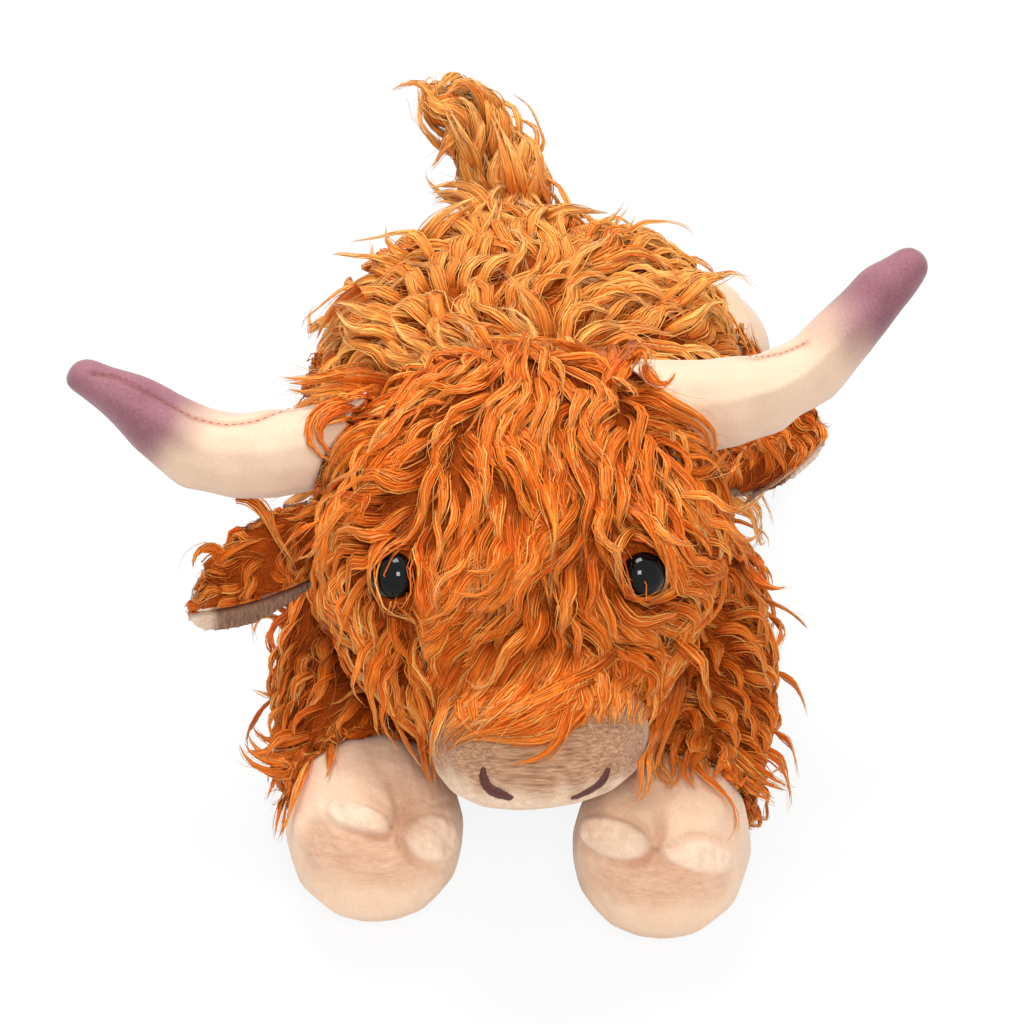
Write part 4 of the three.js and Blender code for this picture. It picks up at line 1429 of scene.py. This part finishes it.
EAR_LOCKS = {
    "right": (
        (0.9, 5, 5, ((226, 564), (220, 554), (210, 547), (199, 551), (193, 562), (194, 574))),
        (1.0, 4, 5, ((206, 568), (224, 555), (244, 545), (270, 538))),
        (0.9, 6, 7, ((236, 497), (252, 500), (264, 512), (274, 531), (285, 549), (292, 580))),
        (0.7, 6, 7, ((300, 486), (290, 488), (274, 492), (258, 486))),
    ),
    "left": (
        (0.6, 5, 10, ((800, 452), (790, 478), (778, 506), (770, 534), (758, 552))),
        (0.5, 5, 10, ((796, 470), (786, 496), (774, 524), (768, 546))),
        (0.7, 5, 6, ((762, 436), (776, 454), (784, 468), (780, 482))),
        (0.5, 5, 6, ((818, 424), (824, 436), (820, 448), (812, 454))),
    ),
}


# Pieces


def skin_piece(name, bm, body, *nodes):
    piece = placed(name, bm, FUR_GROUND, body)
    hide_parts(*nodes)
    return piece


def body_skin():
    half = BODY_HALF - Vector((PILE, PILE, PILE))
    bm = stuffed(half, BODY_FULLNESS, body_shape)
    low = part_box("body_cover")[0].z
    bmesh.ops.translate(bm, verts=bm.verts, vec=(0, 0, low + BODY_HALF.z))
    return skin_piece("body_skin", bm, "torso", "body_cover")


def head_skin():
    """The head's skin, raised where it carries the eyes."""
    half = HEAD_HALF - Vector((PILE, PILE, PILE))
    bm = stuffed(half, HEAD_FULLNESS, head_shape)
    bm.transform(HEAD)
    piece = skin_piece("head_skin", bm, "head", "head_cover")
    points = points_of(piece)
    raised_by = np.zeros(len(points))
    for eye_place in EYE_PLACES.values():
        gap = np.linalg.norm(points - np.array(eye_place.translation), axis=1)
        raised_by += EYE_SEAT * (1 - smooth_step(EYE_RADIUS, 2 * EYE_RADIUS, gap))
    swell(piece, raised_by)
    return piece


def head_neck():
    """The round end of the head, which turns in the neck's collar."""
    bm = bmesh.new()
    bmesh.ops.create_uvsphere(bm, u_segments=48, v_segments=32, radius=NECK_RADIUS)
    bmesh.ops.translate(bm, verts=bm.verts, vec=Vector(NECK_PLACE))
    piece = placed("head_neck", bm, FUR_GROUND, "head")
    return piece


def furred_copy(node, name, body, inset):
    """A skin taken from a CAD node, drawn in by the pile's depth."""
    piece = copy_of(node, name, SKIN_GRAIN, FUR_GROUND, body)
    swell(piece, np.full(len(piece.data.vertices), -inset))
    return piece


# Horns: the pixels of the photograph that each seam runs through
HORN_SEAMS = {
    "right": (
        (92, 374), (119, 377), (156, 395), (193, 418), (225, 425), (254, 421), (291, 408), (330, 394),
    ),
    "left": ((640, 343), (671, 346), (703, 349), (733, 354), (755, 357), (780, 354), (806, 342)),
}
HORN_BENDS = {
    "right": (
        ((70, 366), (70, 375)), ((84, 356), (84, 364)), ((100, 361), (101, 363)),
        ((130, 377), (131, 369)), ((150, 385), (151, 379)), ((170, 394), (170, 393)),
        ((230, 413), (230, 413)), ((300, 398), (300, 398)), ((76, 396), (77, 391)),
        ((92, 416), (94, 404)), ((110, 438), (114, 417)), ((130, 459), (132, 437)),
        ((150, 475), (150, 460)), ((170, 490), (170, 482)), ((190, 498), (190, 491)),
        ((210, 500), (210, 495)), ((230, 506), (230, 497)), ((250, 508), (250, 494)),
        ((290, 506), (290, 492)), ((330, 504), (330, 490)),
    ),
    "left": (
        ((912, 256), (913, 250)), ((900, 257), (899, 252)), ((880, 267), (878, 260)),
        ((860, 283), (857, 275)), ((840, 302), (837, 293)), ((820, 316), (818, 312)),
        ((800, 331), (800, 336)), ((780, 341), (780, 348)), ((720, 352), (720, 355)),
        ((926, 272), (929, 264)), ((922, 292), (923, 280)), ((906, 323), (904, 301)),
        ((880, 368), (872, 344)), ((860, 395), (853, 374)), ((840, 412), (834, 396)),
        ((820, 451), (818, 428)), ((780, 450), (780, 440)), ((740, 457), (740, 449)),
        ((700, 452), (700, 447)), ((690, 360), (690, 360)),
    ),
}
BEND_REACH = 30
DYE_EDGES = {"right": ((0.68, 0.73), (408, 468)), "left": ((-0.73, 0.68), (-430, -350))}
SEAM_DEPTH = 0.0007
SEAM_WIDTH = 2.6
DENT = 0.0005


def horn(label):
    """A stuffed horn, creased along its seam and faintly dented by its stuffing."""
    name = f"horn_velour_{label}"
    piece = copy_of(f"horn_{label}", name, HORN_GRAIN, HORN_VELOUR, "head")
    reshape(piece, nudged(points_of(piece), HORN_BENDS[label], BEND_REACH))
    points = points_of(piece)
    pixels = pixels_of(points)
    gap, _ = line_gap(HORN_SEAMS[label], pixels)
    seam = np.exp(-((gap / SEAM_WIDTH) ** 2)) * facing(piece, TOWARDS_VIEW)
    swell(piece, DENT * drift(points, 0.011, 91) - SEAM_DEPTH * seam)
    way, edges = DYE_EDGES[label]
    paint(piece, "dye", 1 - smooth_step(*edges, pixels @ np.array(way) + 6 * drift(points, 0.012, 92)))
    # The seam's crease also gets a painted shade
    paint(piece, "seam", seam)
    return piece


# Hooves: folds and pads on the toe, in millimetres across and up from its middle.
# A fold has its depth, its width and the places it runs through from its deep end.
# A pad has its height, middle, half sizes and lean in degrees. The sole is an oval of the same kind.
CLOVEN_TOES = {
    "right": {
        "folds": (
            (4.8, 2.3, ((10.0, 4.4), (10.3, 4.8))),
            (3.2, 2.6, ((10.0, 5.0), (11.1, 10.9), (9.5, 17.5), (6.2, 23.5), (1.3, 26.8))),
            (4.0, 7.0, ((13.3, 6.6), (15.5, 14.2), (13.3, 21.9))),
            (1.5, 1.3, ((9.0, 6.6), (5.7, 11.5), (1.3, 15.3), (-3.1, 16.9))),
            (2.4, 1.5, ((9.5, 3.3), (7.9, 0.0), (2.4, 0.5), (-4.2, 2.4), (-9.6, 3.3))),
            (2.6, 1.8, ((11.1, 3.3), (12.8, -2.2), (15.5, -7.7), (21.0, -11.5), (28.6, -14.2))),
            (1.6, 1.6, ((11.7, 3.8), (15.5, 8.2), (22.1, 11.5), (29.7, 12.2), (34.0, 10.0))),
            (0.8, 1.0, ((17.7, 2.7), (24.3, 2.2))),
        ),
        "pads": ((2.0, (23.5, -1.1), (11.0, 9.5), -25), (2.2, (-4.2, 7.1), (13.5, 5.0), -13)),
        "bulge": (1.6, (-8.5, 17.5), (13.0, 8.0), -18),
        "sole": ((-3.1, -7.7), (27.0, 12.5), -8),
    },
    "left": {
        "folds": (
            (4.6, 2.2, ((-3.5, 1.9), (-3.2, 2.2))),
            (2.6, 2.4, ((-2.9, 3.0), (-1.8, 8.6), (-2.4, 15.4), (-4.0, 21.5))),
            (1.6, 1.4, ((-4.0, 3.6), (-6.8, 8.6), (-12.4, 12.0), (-19.7, 13.1), (-27.0, 13.1))),
            (2.8, 1.7, ((-4.6, 0.2), (-8.0, -2.6), (-13.6, -4.0), (-21.4, -3.1), (-31.5, 0.2))),
            (1.6, 1.4, ((-2.4, 3.0), (1.0, 3.6), (5.5, 4.1), (10.0, 6.4), (16.7, 6.4), (25.7, 2.5))),
            (1.4, 2.4, ((-2.9, 0.8), (-1.2, -3.7), (2.1, -8.2), (8.9, -10.4))),
            (0.9, 1.2, ((-3.3, 0.8), (-2.9, -5.9), (-2.9, -12.7), (-4.0, -21.6))),
        ),
        "pads": ((3.0, (-18.6, 4.4), (14.3, 8.2), -14), (1.8, (13.3, -0.9), (16.0, 6.5), -14)),
        "bulge": (1.2, (12.0, 16.0), (15.0, 9.0), -10),
        "sole": ((-1.2, -10.4), (29.0, 12.0), 0),
    },
}
SOLE_DEPTH = 0.0010
CRUMPLE = 0.00012
BODY_MIDDLE = np.array((0, 0.02, 0.1))
HIND_SHARE = 0.55


def filled_out(piece, inwards, share):
    """Brings the flat side of a hoof part of the way out to the ball that the rest of it follows."""
    points = points_of(piece)
    turned = normals_of(piece) @ inwards
    ball = points[turned < 0.3]
    fit = np.linalg.lstsq(np.column_stack([2 * ball, np.ones(len(ball))]), (ball**2).sum(1), rcond=None)[0]
    away = points - fit[:3]
    far = np.linalg.norm(away, axis=1)
    short = np.maximum(math.sqrt(fit[3] + fit[:3] @ fit[:3]) - far, 0) * smooth_step(0.1, 0.5, turned)
    reshape(piece, points + away * (share * short / far)[:, None])


def toe_folds(folds, toe):
    """How deep the folds draw each place of a toe in, and how much painted shade they get."""
    fold = np.zeros(len(toe))
    shade = np.zeros(len(toe))
    for depth, width, spots in folds:
        gap, share = line_gap(spots, toe)
        fade = 1 - 0.75 * smooth_step(0.2, 1.0, share)
        fold = np.maximum(fold, depth * np.exp(-((gap / width) ** 2)) * fade)
        shade = np.maximum(shade, min(depth / 3, 1) * np.exp(-((gap / (width + 0.8)) ** 2)) * fade)
    return fold, shade


def toe_pads(pads, toe, inner):
    """How far the pads stand out at each place of a toe, and where they are crushed.

    A pad on the inner side, which lies close to the other hoof, is left out.
    """
    pad = np.zeros(len(toe))
    crushed = np.zeros(len(toe))
    for tall, middle, half, lean in pads:
        if middle[0] * inner > 0:
            continue
        gap = oval(toe, middle, half, lean)
        pad = np.maximum(pad, tall * (1 - smooth_step(0.78, 1.08, gap)))
        crushed = np.maximum(crushed, 1 - smooth_step(0.7, 1.1, gap))
    return pad, crushed


def hoof(place):
    """A stuffed hoof, its toe drawn in between two pads over the sole."""
    grain = FRONT_HOOF_GRAIN if place.startswith("front") else HIND_HOOF_GRAIN
    name = f"hoof_plush_{place}"
    piece = copy_of(f"hoof_{place}", name, grain, HOOF_PLUSH, f"leg_{place}")
    if place.startswith("hind"):
        middle = (points_of(piece).min(0) + points_of(piece).max(0)) / 2
        filled_out(piece, unit(BODY_MIDDLE - middle), HIND_SHARE)
    points = points_of(piece)
    forward = 1 if place.startswith("front") else -1
    away = (points - (points.min(0) + points.max(0)) / 2) * 1000
    toe = np.stack([away[:, 0] * forward, away @ (UP_IN_VIEW * (1, forward, 1))], 1)
    shape = CLOVEN_TOES["left" if place in ("front_left", "hind_right") else "right"]
    fold, shade = toe_folds(shape["folds"], toe)
    pad, crushed = toe_pads(shape["pads"], toe, {"hind_left": 1, "hind_right": -1}.get(place, 0))
    tall, middle, half, lean = shape["bulge"]
    pad += tall * (1 - smooth_step(0.3, 1.3, oval(toe, middle, half, lean)))
    worn = 1 - smooth_step(0.6, 1.25, oval(toe, *shape["sole"]) + 0.12 * drift(points, 0.009, 97))
    seen = facing(piece, TOWARDS_VIEW * (1, forward, 1))
    crumple = CRUMPLE * (1 + crushed) * (drift(points, 0.0035, 93) + drift(points, 0.0022, 94))
    swell(piece, ((pad - fold) / 1000 - SOLE_DEPTH * worn + crumple) * seen)
    paint(piece, "sole", worn * seen)
    # The pads' crushed nap is paler, partly a painted sheen, and the folds get a painted shade
    paint(piece, "pad", crushed * seen * 0.8)
    paint(piece, "fold", shade * seen * 0.75)
    return piece


def eye_dome(label, matrix):
    """A glossy dome turned about its shank."""
    outline = [
        Vector((0, 0, -SHANK_LENGTH)),
        Vector((SHANK_RADIUS, 0, -SHANK_LENGTH)),
        Vector((SHANK_RADIUS, 0, 0)),
        Vector((EYE_RADIUS * 0.97, 0, 0)),
        Vector((EYE_RADIUS, 0, EYE_RIM * 0.5)),
    ]
    for step in range(DOME_STEPS + 1):
        angle = math.pi / 2 * step / DOME_STEPS
        outline.append(Vector((EYE_RADIUS * math.cos(angle), 0, EYE_RIM + EYE_DOME * math.sin(angle))))
    bm = bmesh.new()
    verts = [bm.verts.new(point) for point in outline]
    edges = [bm.edges.new(pair) for pair in zip(verts, verts[1:])]
    bmesh.ops.spin(
        bm, geom=verts + edges, cent=(0, 0, 0), axis=(0, 0, 1), angle=2 * math.pi, steps=DOME_SEGMENTS,
        use_merge=True,
    )
    bmesh.ops.remove_doubles(bm, verts=bm.verts, dist=0.00001)
    bmesh.ops.recalc_face_normals(bm, faces=bm.faces)
    bm.transform(matrix)
    piece = placed(f"eye_dome_{label}", bm, EYE_GLOSS, "head")
    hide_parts(f"eye_{label}")
    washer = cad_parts[f"eye_washer_{label}"].data.materials
    washer.clear()
    washer.append(WASHER_PLASTIC)


FILLING_LUMPS = 0.0008
FILLING_ROOM = 0.0012


def filling(node, body):
    """A soft lump of stuffing, a little smaller than the skin round it."""
    name = node.replace("fill", "stuffing")
    piece = copy_of(node, name, FILLING_GRAIN, STUFFING, body)
    swell(piece, FILLING_LUMPS * drift(points_of(piece), 0.010, 9) - FILLING_ROOM)


# Embroidery: the pixels of the photograph that each nostril runs through, and its widths in millimetres
NOSTRILS = {
    "right": (
        ((484, 768), (484, 777), (488, 786), (496, 792), (505, 796), (511, 798)),
        (1.2, 3.4, 4.0, 5.4, 5.2, 2.6),
    ),
    "left": (
        ((608, 768), (605, 776), (599, 784), (590, 790), (580, 795), (572, 797)),
        (1.8, 3.0, 3.8, 3.8, 3.2, 1.2),
    ),
}
THREAD = Tube(THREAD_SIDES, THREAD_STEPS)


def satin(label, tree):
    """A nostril of satin stitches, side by side across a line and as wide as given along it."""
    rng = np.random.default_rng(71)
    spots, widths = NOSTRILS[label]
    rough, _ = laid(tree, spots, 40, 0)
    count = int(np.linalg.norm(np.diff(rough, axis=0), axis=1).sum() / THREAD_PITCH)
    line, normals = laid(tree, spots, count, 0)
    ahead = unit(np.gradient(line, axis=0))
    across = unit(np.cross(normals, ahead))
    half = np.interp(np.linspace(0, 1, count), np.linspace(0, 1, len(widths)), widths) / 2000
    half = (half * rng.uniform(0.9, 1.1, count))[:, None]
    step = np.linspace(-1, 1, THREAD_STEPS + 1)[None]
    rise = 0.0005 * (1 - step**2) + 0.0001 + rng.uniform(0, 0.00015, count)[:, None]
    paths = line[:, None] + across[:, None] * (half * step)[..., None] + normals[:, None] * rise[..., None]
    paths += ahead[:, None] * (0.25 * half * step)[..., None]
    radii = np.full(paths.shape[:2], THREAD_RADIUS)
    up = np.broadcast_to(normals[:, None], paths.shape)
    part = THREAD.repeated(paths, radii, rng.uniform(0, 0.4, count), up)
    piece = tube_piece(f"nostril_thread_{label}", [part], NOSTRIL_THREAD, "head")
    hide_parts(f"nostril_{label}")


def running(label, tree):
    """Small running stitches along a horn's seam."""
    samples = THREAD_STEPS + 3
    count = len(HORN_SEAMS[label]) * 4
    line, normals = laid(tree, HORN_SEAMS[label], count * samples, -0.0001)
    stitch = np.arange(count)[:, None] * samples + np.arange(THREAD_STEPS + 1)
    rise = 0.00022 * np.array((-1, 1, 1.2, 1, -1))
    paths = line[stitch] + normals[stitch] * rise[None, :, None]
    radii = np.full(paths.shape[:2], THREAD_RADIUS * 0.4)
    part = THREAD.repeated(paths, radii, np.linspace(0.8, 1, count), normals[stitch])
    tube_piece(f"horn_seam_{label}", [part], NOSTRIL_THREAD, "head")


# Ears: the edge of the fur over the lining, how the lining's rim moves, and where it is turned over and
# paler, partly painted light, in pixels of the photograph
EAR_HEMS = {
    "right": ((178, 618), (193, 611), (234, 603), (264, 595), (295, 583), (318, 572)),
    "left": ((716, 520), (744, 505), (760, 492), (778, 480), (800, 462), (826, 436)),
}
HEM_RADIUS = 0.0011
EAR_RIMS = {
    "right": (
        ((224, 635), (228, 629)), ((256, 629), (258, 621)), ((288, 618), (287, 608)),
        ((304, 602), (305, 592)), ((202, 634), (200, 630)), ((189, 620), (186, 620)),
    ),
    "left": (),
}
TURNED_ENDS = {"right": (222, 206), "left": (780, 800)}
RIB = 0.0006


def below_hem(label, pixels):
    """How many pixels lower than an ear's hem each place shows."""
    across, down = np.array(EAR_HEMS[label], float).T
    return pixels[:, 1] - np.interp(pixels[:, 0], across, down)


class Hem:
    """Brings points that show below an ear's hem up to it, or to so many pixels under it."""

    def __init__(self, label, room):
        self.label = label
        self.room = room

    def __call__(self, strands):
        points = strands.reshape(-1, 3)
        over = np.maximum(below_hem(self.label, pixels_of(points)) - self.room, 0)
        up = np.array(VIEW_TURN @ Vector((0, 1, 0)))
        return (points + (over * pixel_size(points))[:, None] * up).reshape(strands.shape)


def ear_lining(label):
    """The velour side of an ear, ribbed across, pale at its tip where it is turned over, partly painted
    light, and with a painted shadow under the hem.
    """
    name = f"ear_velour_{label}"
    piece = copy_of(f"ear_lining_{label}", name, EAR_GRAIN, EAR_VELOUR, f"ear_{label}")
    fixed = tuple((spot, spot) for spot in EAR_HEMS[label])
    reshape(piece, nudged(points_of(piece), EAR_RIMS[label] + fixed, 12))
    points = points_of(piece)
    pixels = pixels_of(points)
    flat = facing(piece, TOWARDS_VIEW) ** 2
    swell(piece, RIB * flat * np.sin(pixels[:, 0] * 1.3 + drift(points, 0.01, 95)))
    # The turned tip is paler, partly painted light
    turned = smooth_step(*TURNED_ENDS[label], pixels[:, 0])
    paint(piece, "turned", turned)
    below = below_hem(label, pixels)
    swell(piece, -0.0014 * smooth_step(0, -12, below))
    # Under the hem the lining takes a painted shadow, weaker where it is turned over
    hidden = (1 - smooth_step(4, 9, below)) * (1 - 0.6 * turned)
    paint(piece, "hem_shadow", hidden * facing(piece, TOWARDS_VIEW))


def ear_hem(label, tree):
    """The rolled edge between an ear's fur and its lining."""
    line, normals = laid(tree, EAR_HEMS[label][1:-1], HEM_STEPS + 1, 0.0006)
    form = Tube(8, HEM_STEPS)
    radii = HEM_RADIUS * np.sin(math.pi * np.linspace(0.02, 0.98, HEM_STEPS + 1))[None] ** 0.4
    part = form.repeated(line[None], radii, np.zeros(1), normals[None])
    piece = tube_piece(f"ear_hem_{label}", [part], EAR_VELOUR, f"ear_{label}")
    # The hem's tip is painted pale like the lining's, partly painted light
    paint(piece, "turned", smooth_step(*TURNED_ENDS[label], pixels_of(points_of(piece))[:, 0]))


# Muzzle: the middle and lowest pixels of the curve below which its nap is brushed down, and its bend
BRUSH_ACROSS = 540
BRUSH_DOWN = 792
BRUSH_BEND = 480


def muzzle_piece():
    """The stuffed muzzle, its nap brushed down over its lower lip."""
    piece = copy_of("muzzle", "muzzle_velour", MUZZLE_GRAIN, MUZZLE_VELOUR, "head")
    points = points_of(piece)
    across, down = pixels_of(points).T
    brushed = down - BRUSH_DOWN + np.abs(across - BRUSH_ACROSS) ** 2 / BRUSH_BEND
    paint(piece, "brushed", smooth_step(-12, 16, brushed + 5 * drift(points, 0.006, 96)))
    return piece


def neck_density(head, body, collar):
    """Hair where the head's round end shows between the head, the collar and the body."""
    trees = [tree_of(piece) for piece in (head, body, collar)]

    def density(points, normals):
        clear = [apart_from(tree, points) > 0.001 for tree in trees]
        return np.where(clear[0] & clear[1] & clear[2], 1.0, 0.0)

    return density


def furred_tail():
    """The tail, with its switch of long straw locks."""
    skin = furred_copy("tail", "tail_skin", "tail", 0.004)
    by_hand = laid_locks(tree_of(skin), TAIL_LOCKS)
    fur("tail_fur", "tail", Skin(skin), TAIL_COAT, tail_flow, tail_density, 31, by_hand=by_hand)


def furred_neck(head, body):
    """The neck's collar, and the head's round end that turns in it."""
    collar = furred_copy("neck_collar", "neck_skin", "neck", 0.001)
    fur("neck_fur", "neck", Skin(collar), NECK_COAT, body_flow, anywhere, 61)
    bare = neck_density(head, body, collar)
    fur("head_neck_fur", "head", Skin(head_neck()), NECK_COAT, body_flow, bare, 62)


def furred_leg(place, seed, hoof_piece, hurdles):
    """A leg's short fur, and the locks that fall over its hoof."""
    skin = furred_copy(f"leg_{place}", f"leg_skin_{place}", f"leg_{place}", 0.003)
    flow = leg_flow(1 if place.endswith("left") else -1, -1.0 if place.startswith("front") else 1.0)
    by_hand = laid_locks(tree_of(skin, hoof_piece), LEG_LOCKS[place]) if place in LEG_LOCKS else None
    fur(
        f"leg_fur_{place}", f"leg_{place}", Skin(skin), LEG_COAT, flow, anywhere, seed,
        hurdles, by_hand,
    )


def furred_ear(label, seed):
    """An ear's fur, down to the hem over its lining."""
    skin = furred_copy(f"ear_{label}", f"ear_skin_{label}", f"ear_{label}", 0.001)
    reshape(skin, Hem(label, 0)(points_of(skin)))
    ear_hem(label, tree_of(skin))
    fur(
        f"ear_fur_{label}", f"ear_{label}", Skin(skin), EAR_COAT, ear_flow(EYE_SIDES[label]), anywhere,
        seed, (Hem(label, 2),), laid_locks(tree_of(skin), EAR_LOCKS[label]),
    )


SIDES = ("left", "right")
LEGS = ("front_left", "front_right", "hind_left", "hind_right")

body = body_skin()
head = head_skin()
filling("body_fill", "torso")
filling("head_fill", "head")
horns = [horn(label) for label in SIDES]
hooves = [hoof(place) for place in LEGS]
muzzle = muzzle_piece()
for label, eye_place in EYE_PLACES.items():
    eye_dome(label, eye_place)
for index, label in enumerate(SIDES):
    satin(label, tree_of(muzzle))
    running(label, tree_of(horns[index]))
    ear_lining(label)

hoof_hurdles = [Hurdle(piece) for piece in hooves]
head_changes = [Hurdle(piece) for piece in (*horns, muzzle)] + hoof_hurdles
head_changes += [Eyelid(EYE_PLACES[label], *EYE_OPENINGS[label]) for label in SIDES]
face_locks = laid_locks(tree_of(head, muzzle, *horns), FACE_LOCKS)
fur(
    "head_fur", "head", Skin(head), HEAD_COAT, head_flow, head_density, 11,
    head_changes, face_locks, head_lengths,
)
torso_locks = laid_locks(tree_of(body), TORSO_LOCKS)
fur(
    "body_fur", "torso", Skin(body), BODY_COAT, body_flow, body_density, 21,
    hoof_hurdles, torso_locks,
)

furred_tail()
furred_neck(head, body)
for index, place in enumerate(LEGS):
    furred_leg(place, 41 + index, hooves[index], hoof_hurdles)
for index, label in enumerate(SIDES):
    furred_ear(label, 51 + index)


# Studio: the white paper's own grey and how much it glows, the light of the world, and the lamps
PAPER = 0.92
GLOW_SHARE = 0.9
WORLD_LIGHT = 0.32
FLOOR_HALF = 6
LAMPS = (
    ("key", VIEW_TARGET + Vector((0.12, -1.05, 1.05)), 0.38, 11.8),
    ("overhead", Vector((-0.15, 0.3, 1.45)), 0.6, 20),
)


def photo_camera():
    camera_data = bpy.data.cameras.new("camera")
    camera_data.sensor_width = SENSOR_WIDTH
    camera_data.lens = VIEW_FOCUS / PHOTO_SIZE * SENSOR_WIDTH
    camera = linked("camera", camera_data)
    camera.location = VIEW_PLACE
    camera.rotation_euler = VIEW_TURN.to_euler()
    bpy.context.scene.camera = camera
    bpy.context.scene.view_settings.view_transform = "Standard"


def lamp(name, place, size, power):
    data = bpy.data.lights.new(name, "AREA")
    data.shape = "SQUARE"
    data.size = size
    data.energy = power
    light = linked(name, data)
    light.location = place
    light.rotation_euler = (VIEW_TARGET - place).to_track_quat("-Z", "Y").to_euler()


def joined(tree, kind, *sources, **values):
    """The output of a node whose inputs, in their order, are these sources."""
    node = add(tree, kind, **values)
    for source, socket in zip(sources, node.inputs):
        tree.links.new(source, socket)
    return node.outputs[0]


def shown_white(tree, seen, lit):
    """A shader that shows one way to the camera and to shiny things, and lights the object another way."""
    path = add(tree, "ShaderNodeLightPath").outputs
    either = joined(
        tree, "ShaderNodeMath", path["Is Camera Ray"], path["Is Glossy Ray"], operation="MAXIMUM"
    )
    every = joined(tree, "ShaderNodeMath", either, path["Is Transmission Ray"], operation="MAXIMUM")
    return joined(tree, "ShaderNodeMixShader", every, lit, seen)


def backdrop():
    world = bpy.data.worlds.new("studio")
    bpy.context.scene.world = world
    world.use_nodes = True
    tree = world.node_tree
    tree.nodes.clear()
    seen = add(tree, "ShaderNodeBackground", Color=(1, 1, 1, 1), Strength=1.0).outputs[0]
    lit = add(tree, "ShaderNodeBackground", Color=(1, 1, 1, 1), Strength=WORLD_LIGHT).outputs[0]
    out = tree.nodes.new("ShaderNodeOutputWorld")
    tree.links.new(shown_white(tree, seen, lit), out.inputs["Surface"])


def floor():
    bm = bmesh.new()
    bmesh.ops.create_grid(bm, x_segments=1, y_segments=1, size=FLOOR_HALF)
    mesh = bpy.data.meshes.new("floor")
    bm.to_mesh(mesh)
    bm.free()
    linked("floor", mesh)
    material = bpy.data.materials.new("floor_paper")
    material.use_nodes = True
    tree = material.node_tree
    tree.nodes.clear()
    paper = add(tree, "ShaderNodeBsdfDiffuse", Color=(PAPER, PAPER, PAPER, 1)).outputs[0]
    glow = add(tree, "ShaderNodeEmission", Color=(1, 1, 1, 1), Strength=1.0).outputs[0]
    part = tree.nodes.new("ShaderNodeMixShader")
    part.inputs[0].default_value = GLOW_SHARE
    tree.links.new(paper, part.inputs[1])
    tree.links.new(glow, part.inputs[2])
    out = tree.nodes.new("ShaderNodeOutputMaterial")
    tree.links.new(shown_white(tree, part.outputs[0], paper), out.inputs["Surface"])
    mesh.materials.append(material)


photo_camera()
backdrop()
floor()
for each in LAMPS:
    lamp(*each)
